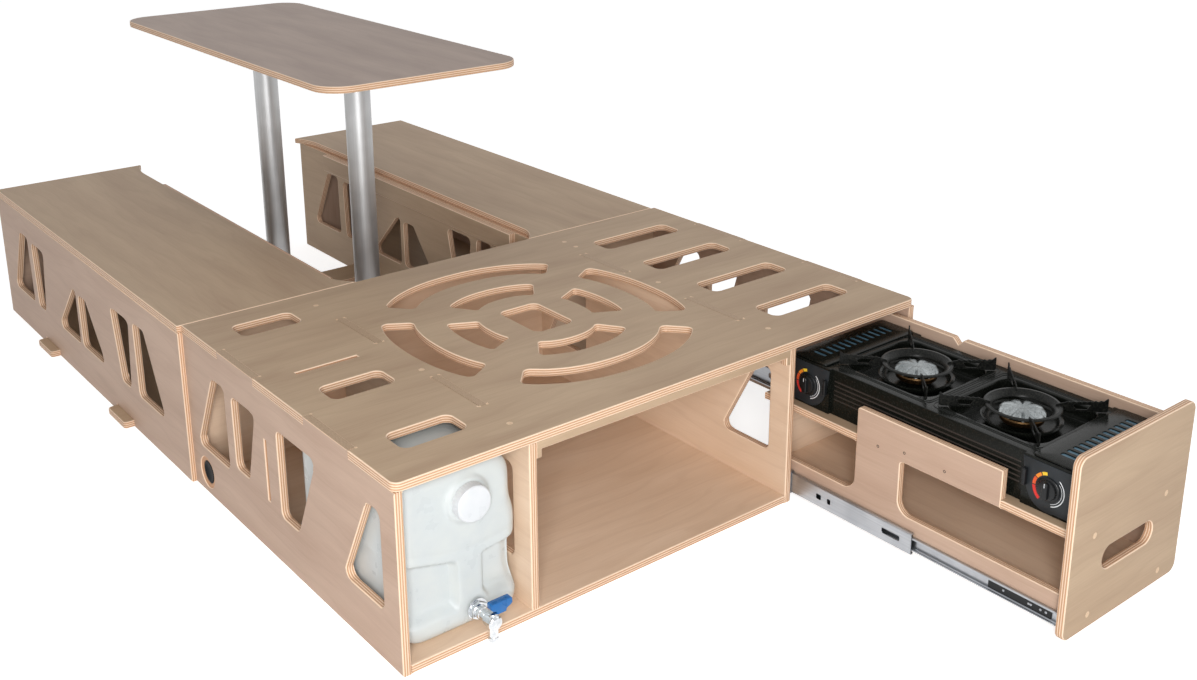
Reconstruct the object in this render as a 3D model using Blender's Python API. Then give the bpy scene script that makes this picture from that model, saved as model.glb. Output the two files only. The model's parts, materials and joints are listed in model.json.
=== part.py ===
"""Camper van kitchen box: front box with drawer, stove and water can, two bed benches and a table.

Metres, +Z up. The origin lies on the floor under the middle of the front box. +X runs to the right
and +Y runs back, from the drawer front towards the benches. The drawer stands open, as in use.
"""
import math

import bmesh
import bpy
from mathutils import Matrix, Vector

# Front box
BOX_WIDTH = 1.190
BOX_DEPTH = 0.790
BOX_HEIGHT = 0.330
PLY = 0.015
SEAT_GAP = 0.0003
CUT_OVERRUN = 0.004
PANEL_CORNER = 0.015
LEFT_BAY_WIDTH = 0.229
RIGHT_BAY_WIDTH = 0.324
FRONT_RAIL_HEIGHT = 0.015
FRONT_RAIL_HOOK_DROP = 0.014
FRONT_RAIL_HOOK_WIDTH = 0.010
TAB_LENGTH = 0.150
TAB_EAR = 0.004
TAB_SINK = 0.0015
TAB_CENTRE_SHARES = (0.27, 0.70)

# Vent slots and the round pattern in the top panel
LEFT_SLOT_LENGTH = 0.120
RIGHT_SLOT_LENGTH = 0.210
SLOT_WIDTH = 0.062
SLOT_CORNER = 0.015
SLIT_WIDTH = 0.008
LEFT_SLOT_SHARES = (0.150, 0.433, 0.877)
LEFT_SLIT_SHARE = 0.570
RIGHT_SLOT_SHARES = (0.175, 0.390, 0.605, 0.820)
PATTERN_CENTRE_SHARE = 0.503
RING_HALF_DEPTH = 0.302
RING_HALF_WIDTH = 0.280
RING_SLOT_WIDTH = 0.058
INNER_RING_HALF_DEPTH = 0.180
INNER_RING_HALF_WIDTH = 0.164
RING_CORNER = 0.012
RING_POWER = 2.25
RING_END_DEGREES = (32.0, 49.0)
INNER_RING_END_DEGREES = (27.0, 56.0)
PATTERN_EYE_WIDTH = 0.087
PATTERN_EYE_DEPTH = 0.127

# Cut-outs of the upright panels, as corners in shares of the panel's length and height
CUTOUT_CORNER = 0.013
BOX_CUTOUT_SHARES = {
    "front": ((0.063, 0.282), (0.226, 0.282), (0.112, 0.794), (0.063, 0.794)),
    "second": ((0.424, 0.294), (0.504, 0.294), (0.504, 0.794), (0.323, 0.794)),
    "third": ((0.664, 0.352), (0.734, 0.352), (0.734, 0.782), (0.610, 0.782)),
    "rear": ((0.775, 0.297), (0.956, 0.297), (0.842, 0.794), (0.775, 0.794)),
}
BOX_SLIT_SHARES = (0.565, 0.324, 0.682)
BENCH_CUTOUT_SHARES = (
    ((0.094, 0.282), (0.214, 0.282), (0.214, 0.779), (0.164, 0.779)),
    ((0.255, 0.282), (0.297, 0.282), (0.326, 0.764), (0.237, 0.764)),
    ((0.382, 0.279), (0.509, 0.279), (0.509, 0.650), (0.468, 0.650)),
    ((0.524, 0.273), (0.651, 0.273), (0.539, 0.661), (0.524, 0.661)),
    ((0.737, 0.279), (0.780, 0.279), (0.786, 0.764), (0.708, 0.764)),
    ((0.809, 0.279), (0.939, 0.279), (0.861, 0.779), (0.812, 0.779)),
)
PLUG_RADIUS = 0.0235
PLUG_FLANGE_RADIUS = 0.030
PLUG_FLANGE = 0.004
PLUG_SINK = 0.003
PLUG_RECESS_RADIUS = 0.031
PLUG_HEIGHT = 0.045
PLUG_FROM_BACK = 0.063

# Benches
BENCH_LENGTH = 1.180
BENCH_WIDTH = 0.352
BENCH_OFFSET = 0.009
LID_SETBACK = 0.010
LID_NEAR_EAR_LENGTH = 0.070
LID_NEAR_EAR_REACH = 0.034
LID_FAR_EAR_LENGTH = 0.095
LID_FAR_EAR_REACH = 0.024
BED_RAIL_HEIGHT = 0.045
BED_RAIL_LENGTH = 0.920
BED_RAIL_START = 0.088

# Floor slats, table legs and table top
SLAT_WIDTH = 0.100
SLAT_OVERHANG = 0.030
SLAT_CORNER = 0.008
SLAT_NOTCH_GAP = 0.0006
LEG_START = 0.360
LEG_SPACING = 0.486
LEG_RADIUS = 0.030
LEG_WALL = 0.002
LEG_CLEARANCE = 0.0004
SOCKET_WALL = 0.003
SOCKET_HEIGHT = 0.045
SOCKET_FLANGE_RADIUS = 0.048
SOCKET_FLANGE = 0.006
COLLAR_HEIGHT = 0.026
COLLAR_FLANGE_RADIUS = 0.045
TABLE_HEIGHT = 0.732
TABLE_WIDTH = 0.486
TABLE_LENGTH = 1.130
TABLE_CORNER = 0.065
TABLE_SHIFT = 0.006

# Drawer
DRAWER_TRAVEL = 0.570
DRAWER_STAND_OFF = 0.002
DRAWER_FRONT_WIDTH = 0.339
DRAWER_FRONT_HEIGHT = 0.323
DRAWER_FRONT_RISE = 0.004
DRAWER_FRONT_CORNER = 0.018
DRAWER_FRONT_SHIFT = 0.006
DRAWER_LENGTH = 0.660
DRAWER_FOOT = 0.020
DRAWER_RAIL_TOP = 0.078
DRAWER_STRIP_TOP = 0.245
DRAWER_RIGHT_TOP = 0.300
DRAWER_NOTCH_DEPTH = 0.012
DRAWER_NOTCH_WIDTH = 0.024
SHELF_HEIGHT = 0.192
STRIP_START = 0.127
POST_WIDTH = 0.100
POST_BEFORE_STOVE_END = 0.182
DRAWER_FILLET = 0.026
DRAWER_FLOOR_RISE = 0.012
HANDLE_LENGTH = 0.150
HANDLE_HEIGHT = 0.042
HANDLE_RISE = 0.118

# Drawer slides
SLIDE_LENGTH = 0.550
SLIDE_THICKNESS = 0.0127
SLIDE_RISE = 0.037
SLIDE_SHEET = 0.0013
SLIDE_OUTER_HEIGHT = 0.0455
SLIDE_MIDDLE_HEIGHT = 0.0410
SLIDE_INNER_HEIGHT = 0.0250
SLIDE_RUNNING_GAP = 0.0006
SLIDE_MIDDLE_DEPTH = 0.0080

# Stove
STOVE_LENGTH = 0.608
STOVE_WIDTH = 0.262
STOVE_WAIST = 0.006
STOVE_HEIGHT = 0.090
STOVE_CORNER = 0.018
STOVE_SHEET = 0.003
STOVE_END = 0.098
STOVE_BACK_GAP = 0.006
BURNER_SPACING_SHARE = 0.521
WELL_WIDTH = 0.190
WELL_LENGTH_SHARE = 0.440
WELL_DEPTH = 0.030
WELL_CORNER = 0.030
BURNER_BASE_RADIUS = 0.046
BURNER_NECK_RADIUS = 0.030
BURNER_HEAD_RADIUS = 0.040
BURNER_HEIGHT = 0.035
BURNER_COLLAR_SHARE = 0.30
BURNER_BRIM_SHARE = 0.65
SUPPORT_CLEARANCE = 0.005
SUPPORT_HEIGHT = 0.026
SUPPORT_SHEET = 0.003
SUPPORT_RING_RADIUS = 0.062
CARTRIDGE_BAY_LENGTH = 0.082
CARTRIDGE_RADIUS = 0.034
CARTRIDGE_LENGTH = 0.185
CARTRIDGE_NECK_RADIUS = 0.012
STOVE_LID = 0.003
KNOB_RADIUS = 0.021
KNOB_DEPTH = 0.015
KNOB_GRIP = 0.008
KNOB_RISE = 0.045
KNOB_INSET = 0.048
LEVER_WIDTH = 0.008
LEVER_HEIGHT = 0.030
LEVER_DEPTH = 0.009
LEVER_INSET = 0.091

# Water can
CAN_WIDTH = 0.216
CAN_DEPTH = 0.338
CAN_HEIGHT = 0.287
CAN_SETBACK = 0.022
CAN_WAVE = 0.009
CAN_CORNER = 0.034
CAN_EDGE = 0.010
CAN_SWELL_SHARES = (0.15, 0.25, 0.44, 0.46, 0.62, 0.72)
CAP_RADIUS = 0.040
CAP_DEPTH = 0.019
CAP_NECK_RADIUS = 0.030
CAP_NECK = 0.006
CAP_RISE_SHARE = 0.80
CAP_SIDE_SHARE = 0.56
TAP_SIDE_SHARE = 0.60
TAP_RISE = 0.032
TAP_BODY_RADIUS = 0.011
TAP_NUT_RADIUS = 0.016
TAP_NUT = 0.008
TAP_REACH = 0.056
SPOUT_RADIUS = 0.008
SPOUT_DROP = 0.024
TAP_HANDLE_LENGTH = 0.040
TAP_HANDLE_WIDTH = 0.013
TAP_HANDLE_HEIGHT = 0.014
TAP_STEM_RADIUS = 0.006
TAP_STEM = 0.016

# Fineness
CORNER_STEPS = 4
RING_STEPS = 10
ROUND_SIDES = 32
SMALL_SIDES = 20

# Places worked out from the sizes above
LEFT = -BOX_WIDTH / 2
RIGHT = BOX_WIDTH / 2
FRONT = -BOX_DEPTH / 2
BACK = BOX_DEPTH / 2
UNDER_TOP = BOX_HEIGHT - PLY
LEFT_DIVIDER = LEFT + PLY + LEFT_BAY_WIDTH
RIGHT_DIVIDER = RIGHT - PLY - RIGHT_BAY_WIDTH - PLY
BENCH_START = BACK + SEAT_GAP
DRAWER_CLOSED_BACK_FACE = FRONT - DRAWER_STAND_OFF
DRAWER_START = DRAWER_CLOSED_BACK_FACE - DRAWER_TRAVEL
DRAWER_LEFT = RIGHT_DIVIDER + PLY + SLIDE_THICKNESS
DRAWER_RIGHT = RIGHT - PLY - SLIDE_THICKNESS
STOVE_MIDDLE_X = (DRAWER_LEFT + DRAWER_RIGHT) / 2
STOVE_START = DRAWER_START + STOVE_BACK_GAP
STOVE_MIDDLE_Y = STOVE_START + STOVE_LENGTH / 2
POST_END = STOVE_BACK_GAP + STOVE_LENGTH - POST_BEFORE_STOVE_END
POST_START = POST_END - POST_WIDTH
STOVE_FOOT = SHELF_HEIGHT + SEAT_GAP
STOVE_TOP = STOVE_FOOT + STOVE_HEIGHT
STOVE_FACE = STOVE_MIDDLE_X - STOVE_WIDTH / 2
BAY_DEPTH = CARTRIDGE_BAY_LENGTH + 2 * STOVE_SHEET
LID_DEPTH = BAY_DEPTH - STOVE_LID
BETWEEN_BAYS = STOVE_LENGTH - 2 * BAY_DEPTH
BURNER_SPACING = BETWEEN_BAYS * BURNER_SPACING_SHARE
WELL_LENGTH = BETWEEN_BAYS * WELL_LENGTH_SHARE
CAN_LEFT = LEFT + PLY + (LEFT_BAY_WIDTH - CAN_WIDTH) / 2
CAN_FOOT = PLY + SEAT_GAP
CAN_FACE = FRONT + CAN_SETBACK
TABLE_FOOT = TABLE_HEIGHT - PLY
LEG_NAMES = ("front", "rear")
LEG_PLACES = tuple(BENCH_START + LEG_START + step * LEG_SPACING for step in range(2))


def clear_scene():
    """Removes whatever the scene holds."""
    for thing in list(bpy.data.objects):
        bpy.data.objects.remove(thing, do_unlink=True)


def material(name, colour, roughness, metallic=0.0, alpha=1.0):
    """Returns the Principled material of that name, made once."""
    found = bpy.data.materials.get(name)
    if found:
        return found
    made = bpy.data.materials.new(name)
    made.use_nodes = True
    shader = made.node_tree.nodes["Principled BSDF"]
    shader.inputs["Base Color"].default_value = (*colour, 1.0)
    shader.inputs["Roughness"].default_value = roughness
    shader.inputs["Metallic"].default_value = metallic
    shader.inputs["Alpha"].default_value = alpha
    made.diffuse_color = (*colour, alpha)
    return made


def birch_ply():
    """Warm, matt birch plywood."""
    return material("birch_ply", (0.62, 0.44, 0.28), 0.6)


def aluminium():
    """Brushed aluminium of the table legs."""
    return material("leg_aluminium", (0.62, 0.63, 0.64), 0.35, 1.0)


def zinc_steel():
    """Bright zinc on the slides."""
    return material("slide_zinc", (0.60, 0.61, 0.62), 0.4, 1.0)


def black_enamel():
    """Black enamelled sheet of the stove."""
    return material("stove_enamel", (0.025, 0.026, 0.028), 0.35)


def black_plastic():
    """Black moulded plastic."""
    return material("black_plastic", (0.02, 0.022, 0.025), 0.5)


def burner_alloy():
    """Cast burner head."""
    return material("burner_alloy", (0.55, 0.56, 0.56), 0.4, 1.0)


def cartridge_tin():
    """Printed tin of the gas cartridges, left plain."""
    return material("cartridge_tin", (0.70, 0.72, 0.74), 0.35, 0.8)


def can_plastic():
    """Milky polythene of the water can."""
    return material("can_polythene", (0.82, 0.85, 0.87), 0.35)


def cap_plastic():
    """White cap plastic."""
    return material("cap_polythene", (0.90, 0.92, 0.94), 0.4)


def chrome():
    """Chromed tap."""
    return material("tap_chrome", (0.78, 0.79, 0.80), 0.12, 1.0)


def blue_plastic():
    """Blue tap handle."""
    return material("tap_blue", (0.02, 0.19, 0.55), 0.4)


def rounded(corners, radius, steps=CORNER_STEPS):
    """Rounds each corner of a polygon with an arc, limited by its shorter side.

    radius is one value, or one for each corner.
    """
    radii = radius if isinstance(radius, (list, tuple)) else [radius] * len(corners)
    points = []
    for place, (corner, size) in enumerate(zip(corners, radii)):
        here = Vector(corner)
        before = Vector(corners[place - 1]) - here
        after = Vector(corners[(place + 1) % len(corners)]) - here
        if size <= 0:
            points.append(tuple(here))
            continue
        half = before.angle(after) / 2
        reach = min(size / math.tan(half), 0.49 * min(before.length, after.length))
        arc = reach * math.tan(half)
        start = here + before.normalized() * reach
        end = here + after.normalized() * reach
        centre = here + (before.normalized() + after.normalized()).normalized() * (arc / math.sin(half))
        turn = (start - centre).angle_signed(end - centre)
        for step in range(steps + 1):
            spoke = (start - centre).copy()
            spoke.rotate(Matrix.Rotation(-turn * step / steps, 2))
            points.append(tuple(centre + spoke))
    return points


def rectangle(low_u, low_v, high_u, high_v):
    """Corners of an upright rectangle."""
    return [(low_u, low_v), (high_u, low_v), (high_u, high_v), (low_u, high_v)]


def slot(middle_u, middle_v, length, width, corner):
    """Rounded rectangular hole around a middle point."""
    sides = rectangle(middle_u - length / 2, middle_v - width / 2,
                      middle_u + length / 2, middle_v + width / 2)
    return rounded(sides, corner)


def disc(middle_u, middle_v, radius, sides=SMALL_SIDES):
    """Round hole or disc."""
    turns = [math.tau * step / sides for step in range(sides)]
    return [(middle_u + radius * math.cos(t), middle_v + radius * math.sin(t)) for t in turns]


def shared(shares, start_u, length, start_v, height):
    """Places corners that are given in shares of a length and a height."""
    return [(start_u + u * length, start_v + v * height) for u, v in shares]


def carry(thing, place, parent):
    """Puts a thing at a world place, carried by its parent if it has one."""
    thing.location = place
    if parent:
        bpy.context.view_layer.update()
        thing.parent = parent
        thing.matrix_parent_inverse = parent.matrix_world.inverted()


def build_object(name, shape, origin, finish, parent=None):
    """Turns a bmesh in world places into a named object whose origin is where it is carried."""
    bmesh.ops.remove_doubles(shape, verts=shape.verts, dist=SEAT_GAP / 10)
    bmesh.ops.recalc_face_normals(shape, faces=shape.faces)
    bmesh.ops.translate(shape, verts=shape.verts, vec=-Vector(origin))
    mesh = bpy.data.meshes.new(name)
    shape.to_mesh(mesh)
    shape.free()
    mesh.materials.append(finish)
    made = bpy.data.objects.new(name, mesh)
    bpy.context.scene.collection.objects.link(made)
    carry(made, origin, parent)
    return made


def prism_shape(outline, holes, axis, start, depth):
    """Extrudes an outline with holes along an axis; returns a bmesh.

    The outline's two numbers run along the other two axes, in X, Y, Z order.
    """
    def place(u, v):
        if axis == "X":
            return start, u, v
        if axis == "Y":
            return u, start, v
        return u, v, start

    shape = bmesh.new()
    rim = []
    for loop in [outline, *holes]:
        corners = [shape.verts.new(place(u, v)) for u, v in loop]
        rim += [shape.edges.new(pair) for pair in zip(corners, corners[1:] + corners[:1])]
    bmesh.ops.triangle_fill(shape, use_beauty=True, use_dissolve=False, edges=rim)
    grown = bmesh.ops.extrude_face_region(shape, geom=shape.faces[:])["geom"]
    moved = [item for item in grown if isinstance(item, bmesh.types.BMVert)]
    travel = Vector([depth if letter == axis else 0.0 for letter in "XYZ"])
    bmesh.ops.translate(shape, verts=moved, vec=travel)
    return shape


def prism(name, outline, holes, axis, start, depth, finish, origin=None, parent=None):
    """Makes a flat piece of one thickness."""
    shape = prism_shape(outline, holes, axis, start, depth)
    if origin is None:
        low = [min(vert.co[i] for vert in shape.verts) for i in range(3)]
        high = [max(vert.co[i] for vert in shape.verts) for i in range(3)]
        origin = [(a + b) / 2 for a, b in zip(low, high)]
    return build_object(name, shape, origin, finish, parent)


def turned_shape(profile, axis, middle, sides=ROUND_SIDES):
    """Turns a closed profile of (radius, height) corners about an axis through middle."""
    shape = bmesh.new()
    corners = [shape.verts.new((radius, 0.0, height)) for radius, height in profile]
    edges = [shape.edges.new(pair) for pair in zip(corners, corners[1:] + corners[:1])]
    bmesh.ops.spin(shape, geom=corners + edges, cent=(0, 0, 0), axis=(0, 0, 1),
                   angle=math.tau, steps=sides, use_merge=True, use_duplicate=False)
    bmesh.ops.remove_doubles(shape, verts=shape.verts, dist=SEAT_GAP / 10)
    on_axis = [edge for edge in shape.edges if not edge.link_faces]
    bmesh.ops.delete(shape, geom=on_axis, context="EDGES")
    turns = {"X": Matrix.Rotation(math.pi / 2, 3, "Y"),
             "Y": Matrix.Rotation(-math.pi / 2, 3, "X"),
             "Z": Matrix.Identity(3)}
    bmesh.ops.transform(shape, matrix=Matrix.Translation(middle) @ turns[axis].to_4x4(), verts=shape.verts)
    return shape


def turned(name, profile, axis, middle, finish, parent=None, sides=ROUND_SIDES):
    """Makes a round piece, with its origin on its axis and smooth sides."""
    made = build_object(name, turned_shape(profile, axis, middle, sides), middle, finish, parent)
    made.data.shade_smooth()
    made.data.set_sharp_from_angle(angle=math.radians(35))
    return made


def joint_frame(name, place, parent=None):
    """Empty on a joint's axis or path, which carries what moves with it."""
    made = bpy.data.objects.new(name, None)
    bpy.context.scene.collection.objects.link(made)
    carry(made, place, parent)
    return made


def combine(target, tool, operation):
    """Boolean of a hidden tool on a piece."""
    tool.hide_render = True
    tool.display_type = "WIRE"
    step = target.modifiers.new(operation.lower(), "BOOLEAN")
    step.operation = operation
    step.solver = "EXACT"
    step.object = tool


def tab_places():
    """Start and end of each tab along the depth of the box."""
    middles = [FRONT + share * BOX_DEPTH for share in TAB_CENTRE_SHARES]
    return [(middle - TAB_LENGTH / 2, middle + TAB_LENGTH / 2) for middle in middles]


def tabbed_outline(front, back, foot, tab_top):
    """Outline in Y and Z of an upright panel whose tabs pass through the top panel."""
    shoulder = UNDER_TOP - SEAT_GAP
    outline = [(front, foot), (back, foot), (back, shoulder)]
    for start, end in reversed(tab_places()):
        outline += [(end, shoulder), (end, tab_top), (start, tab_top), (start, shoulder)]
    return outline + [(front, shoulder)]


def box_cutouts(names, with_slit):
    """Cut-outs of a side panel or divider of the front box."""
    holes = [rounded(shared(BOX_CUTOUT_SHARES[name], FRONT, BOX_DEPTH, 0, BOX_HEIGHT), CUTOUT_CORNER)
             for name in names]
    if with_slit:
        place, low, high = BOX_SLIT_SHARES
        middle = FRONT + place * BOX_DEPTH
        holes.append(rectangle(middle - SLIT_WIDTH / 2, low * BOX_HEIGHT,
                               middle + SLIT_WIDTH / 2, high * BOX_HEIGHT))
    return holes


def tab_hole(wall, start, end):
    """Hole in the top panel for one tab, widened at both ends as a router leaves it."""
    low = wall - SEAT_GAP
    high = wall + PLY + SEAT_GAP
    near = start - SEAT_GAP
    far = end + SEAT_GAP
    wide = TAB_EAR / 2
    return [(low - wide, near), (high + wide, near), (high + wide, near + TAB_EAR), (high, near + TAB_EAR),
            (high, far - TAB_EAR), (high + wide, far - TAB_EAR), (high + wide, far), (low - wide, far),
            (low - wide, far - TAB_EAR), (low, far - TAB_EAR), (low, near + TAB_EAR),
            (low - wide, near + TAB_EAR)]


def side_notches():
    """Notches in the top panel's two ends for the side panels' tabs, as outline corners."""
    left_edge, right_edge = [], []
    for start, end in tab_places():
        near, far = start - SEAT_GAP, end + SEAT_GAP
        inside = PLY + SEAT_GAP
        right_edge += [(RIGHT, near), (RIGHT - inside, near), (RIGHT - inside, far), (RIGHT, far)]
        left_edge = [(LEFT, far), (LEFT + inside, far), (LEFT + inside, near), (LEFT, near)] + left_edge
    return left_edge, right_edge


def ring_point(turn, half_width, half_depth):
    """Point on a rounded-square ring at an angle from the +X direction."""
    across = abs(math.cos(turn) / half_width) ** RING_POWER
    along = abs(math.sin(turn) / half_depth) ** RING_POWER
    reach = (across + along) ** (-1 / RING_POWER)
    return reach * math.cos(turn), reach * math.sin(turn)


def ring_slots(middle, half_width, half_depth, ends):
    """Four slots that follow a ring: right, back, left and front."""
    side_end, cross_end = (math.radians(end) for end in ends)
    spans = [(-side_end, side_end), (cross_end, math.pi - cross_end),
             (math.pi - side_end, math.pi + side_end), (-math.pi + cross_end, -cross_end)]
    inner_width = half_width - RING_SLOT_WIDTH
    inner_depth = half_depth - RING_SLOT_WIDTH
    slots = []
    for start, end in spans:
        turns = [start + (end - start) * step / RING_STEPS for step in range(RING_STEPS + 1)]
        outer = [ring_point(turn, half_width, half_depth) for turn in turns]
        inner = [ring_point(turn, inner_width, inner_depth) for turn in turns]
        loop = [(middle[0] + u, middle[1] + v) for u, v in outer + inner[::-1]]
        sharp = (0, RING_STEPS, RING_STEPS + 1, 2 * RING_STEPS + 1)
        slots.append(rounded(loop, [RING_CORNER if place in sharp else 0 for place in range(len(loop))]))
    return slots


def top_panel_holes():
    """Vent slots, slit, ring pattern and tab holes of the top panel."""
    left_middle = LEFT + PLY + LEFT_BAY_WIDTH / 2
    right_middle = RIGHT - PLY - RIGHT_BAY_WIDTH / 2
    holes = [slot(left_middle, FRONT + share * BOX_DEPTH, LEFT_SLOT_LENGTH, SLOT_WIDTH, SLOT_CORNER)
             for share in LEFT_SLOT_SHARES]
    holes += [slot(right_middle, FRONT + share * BOX_DEPTH, RIGHT_SLOT_LENGTH, SLOT_WIDTH, SLOT_CORNER)
              for share in RIGHT_SLOT_SHARES]
    slit_middle = FRONT + LEFT_SLIT_SHARE * BOX_DEPTH
    holes.append(rectangle(left_middle - LEFT_SLOT_LENGTH / 2, slit_middle - SLIT_WIDTH / 2,
                           left_middle + LEFT_SLOT_LENGTH / 2, slit_middle + SLIT_WIDTH / 2))
    middle = ((LEFT_DIVIDER + PLY + RIGHT_DIVIDER) / 2, FRONT + PATTERN_CENTRE_SHARE * BOX_DEPTH)
    holes += ring_slots(middle, RING_HALF_WIDTH, RING_HALF_DEPTH, RING_END_DEGREES)
    holes += ring_slots(middle, INNER_RING_HALF_WIDTH, INNER_RING_HALF_DEPTH, INNER_RING_END_DEGREES)
    holes.append(rounded(rectangle(middle[0] - PATTERN_EYE_WIDTH / 2, middle[1] - PATTERN_EYE_DEPTH / 2,
                                   middle[0] + PATTERN_EYE_WIDTH / 2, middle[1] + PATTERN_EYE_DEPTH / 2),
                         SLOT_CORNER))
    for wall in (LEFT_DIVIDER, RIGHT_DIVIDER):
        holes += [tab_hole(wall, start, end) for start, end in tab_places()]
    return holes


def make_front_box():
    """Top, sides, dividers, floor, back and front rail of the front box."""
    left_edge, right_edge = side_notches()
    corners = [(LEFT, FRONT), (RIGHT, FRONT), *right_edge, (RIGHT, BACK), (LEFT, BACK), *left_edge]
    radii = [PANEL_CORNER if corner in ((LEFT, FRONT), (RIGHT, FRONT)) else 0 for corner in corners]
    prism("box_top", rounded(corners, radii), top_panel_holes(), "Z", UNDER_TOP, PLY, birch_ply())

    every = tuple(BOX_CUTOUT_SHARES)
    plug_hole = disc(BACK - PLUG_FROM_BACK, PLUG_HEIGHT, PLUG_RADIUS + SEAT_GAP)
    outline = tabbed_outline(FRONT, BACK, 0.0, BOX_HEIGHT)
    plugged = prism("box_side_left", outline, box_cutouts(every, True) + [plug_hole], "X", LEFT, PLY,
                    birch_ply())
    recess = disc(BACK - PLUG_FROM_BACK, PLUG_HEIGHT, PLUG_RECESS_RADIUS, ROUND_SIDES)
    combine(plugged, prism("plug_recess_cutter", recess, [], "X", LEFT - CUT_OVERRUN, PLUG_SINK + CUT_OVERRUN,
                           birch_ply()), "DIFFERENCE")
    prism("box_side_right", outline, box_cutouts(every, True), "X", RIGHT - PLY, PLY, birch_ply())

    behind = BACK - PLY - SEAT_GAP
    dividers = {"left": (LEFT_DIVIDER, PLY + SEAT_GAP), "right": (RIGHT_DIVIDER, 0.0)}
    for side, (start, foot) in dividers.items():
        outline = tabbed_outline(FRONT, behind, foot, BOX_HEIGHT - TAB_SINK)
        prism(f"divider_{side}", outline, box_cutouts(("front", "rear"), False), "X", start, PLY, birch_ply())

    inner_left = LEFT + PLY + SEAT_GAP
    prism("box_floor", rectangle(inner_left, FRONT, RIGHT_DIVIDER - SEAT_GAP, BACK), [],
          "Z", 0.0, PLY, birch_ply())
    floor_end = RIGHT_DIVIDER
    back_outline = [(inner_left, PLY + SEAT_GAP), (floor_end, PLY + SEAT_GAP), (floor_end, 0.0),
                    (RIGHT - PLY - SEAT_GAP, 0.0), (RIGHT - PLY - SEAT_GAP, UNDER_TOP - SEAT_GAP),
                    (inner_left, UNDER_TOP - SEAT_GAP)]
    prism("box_back", back_outline, [], "Y", BACK - PLY, PLY, birch_ply())
    make_front_rail()
    make_side_plug()


def make_front_rail():
    """Batten under the top's front edge in the middle bay, with a hook down each divider."""
    low_x = LEFT_DIVIDER + PLY + SEAT_GAP
    high_x = RIGHT_DIVIDER - SEAT_GAP
    top = UNDER_TOP - SEAT_GAP
    foot = top - FRONT_RAIL_HEIGHT
    hook = foot - FRONT_RAIL_HOOK_DROP
    outline = [(low_x, hook), (low_x + FRONT_RAIL_HOOK_WIDTH, hook), (low_x + FRONT_RAIL_HOOK_WIDTH, foot),
               (high_x - FRONT_RAIL_HOOK_WIDTH, foot), (high_x - FRONT_RAIL_HOOK_WIDTH, hook), (high_x, hook),
               (high_x, top), (low_x, top)]
    prism("front_rail", outline, [], "Y", FRONT, PLY, birch_ply())


def make_side_plug():
    """Round black plug in the left side, held by a flange inside."""
    outer = LEFT + PLUG_SINK
    inner = LEFT + PLY + SEAT_GAP
    shank = inner - outer
    profile = [(0.0, 0.0), (PLUG_RADIUS, 0.0), (PLUG_RADIUS, shank), (PLUG_FLANGE_RADIUS, shank),
               (PLUG_FLANGE_RADIUS, shank + PLUG_FLANGE), (0.0, shank + PLUG_FLANGE)]
    turned("side_plug", profile, "X", (outer, BACK - PLUG_FROM_BACK, PLUG_HEIGHT), black_plastic(),
           sides=SMALL_SIDES)


def slat_starts():
    """Near edge of each floor slat, centred under its leg."""
    return [place - SLAT_WIDTH / 2 for place in LEG_PLACES]


def bench_side_outline():
    """Outline in Y and Z of a bench's long panel, notched over the floor slats."""
    end = BENCH_START + BENCH_LENGTH
    outline = [(BENCH_START, 0.0)]
    for start in slat_starts():
        near = start - SLAT_NOTCH_GAP
        far = start + SLAT_WIDTH + SLAT_NOTCH_GAP
        outline += [(near, 0.0), (near, PLY + SLAT_NOTCH_GAP), (far, PLY + SLAT_NOTCH_GAP), (far, 0.0)]
    return outline + [(end, 0.0), (end, UNDER_TOP - SEAT_GAP), (BENCH_START, UNDER_TOP - SEAT_GAP)]


def bench_cutouts():
    """Six cut-outs of a bench's long panel."""
    return [rounded(shared(shares, BENCH_START, BENCH_LENGTH, 0, BOX_HEIGHT), CUTOUT_CORNER)
            for shares in BENCH_CUTOUT_SHARES]


def lid_outline(outer, inward, width):
    """Outline in X and Y of a bench lid; its inner edge sweeps out to an ear at each end."""
    edge = outer + inward * (width - LID_SETBACK)
    end = BENCH_START + BENCH_LENGTH
    steps = [step / RING_STEPS for step in range(RING_STEPS + 1)]
    near = [(edge + inward * LID_NEAR_EAR_REACH * (1 - share) ** 2, BENCH_START + LID_NEAR_EAR_LENGTH * share)
            for share in steps]
    far = [(edge + inward * LID_FAR_EAR_REACH * share ** 2, end - LID_FAR_EAR_LENGTH * (1 - share))
           for share in steps]
    return [(outer, BENCH_START), *near, *far, (outer, end)]


def make_bench(side, outer, inward, width):
    """One bench: outer and inner panel, end, floor, bed rail and lift-off lid."""
    def wall(distance, thickness):
        """Start in X of a panel whose outer face lies that far in from the bench's outer face."""
        return outer + inward * distance if inward > 0 else outer - distance - thickness

    gap = SEAT_GAP
    end = BENCH_START + BENCH_LENGTH
    inner_face = width - PLY
    prism(f"bench_{side}_outer", bench_side_outline(), bench_cutouts(), "X", wall(0, PLY), PLY, birch_ply())
    prism(f"bench_{side}_inner", bench_side_outline(), bench_cutouts(), "X", wall(inner_face, PLY), PLY,
          birch_ply())
    span = inner_face - PLY - 2 * gap
    low_x = wall(PLY + gap, span)
    prism(f"bench_{side}_end", rectangle(low_x, 0.0, low_x + span, UNDER_TOP - gap), [], "Y", end - PLY, PLY,
          birch_ply())
    prism(f"bench_{side}_floor", rectangle(low_x, BENCH_START, low_x + span, end - PLY - gap), [], "Z",
          PLY + gap, PLY, birch_ply())
    rail_start = BENCH_START + BED_RAIL_START
    rail_top = UNDER_TOP - gap
    prism(f"bed_rail_{side}",
          rectangle(rail_start, rail_top - BED_RAIL_HEIGHT, rail_start + BED_RAIL_LENGTH, rail_top), [],
          "X", wall(width + gap, PLY), PLY, birch_ply())
    prism(f"bench_{side}_lid", lid_outline(outer, inward, width), [], "Z", UNDER_TOP, PLY, birch_ply())


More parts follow.
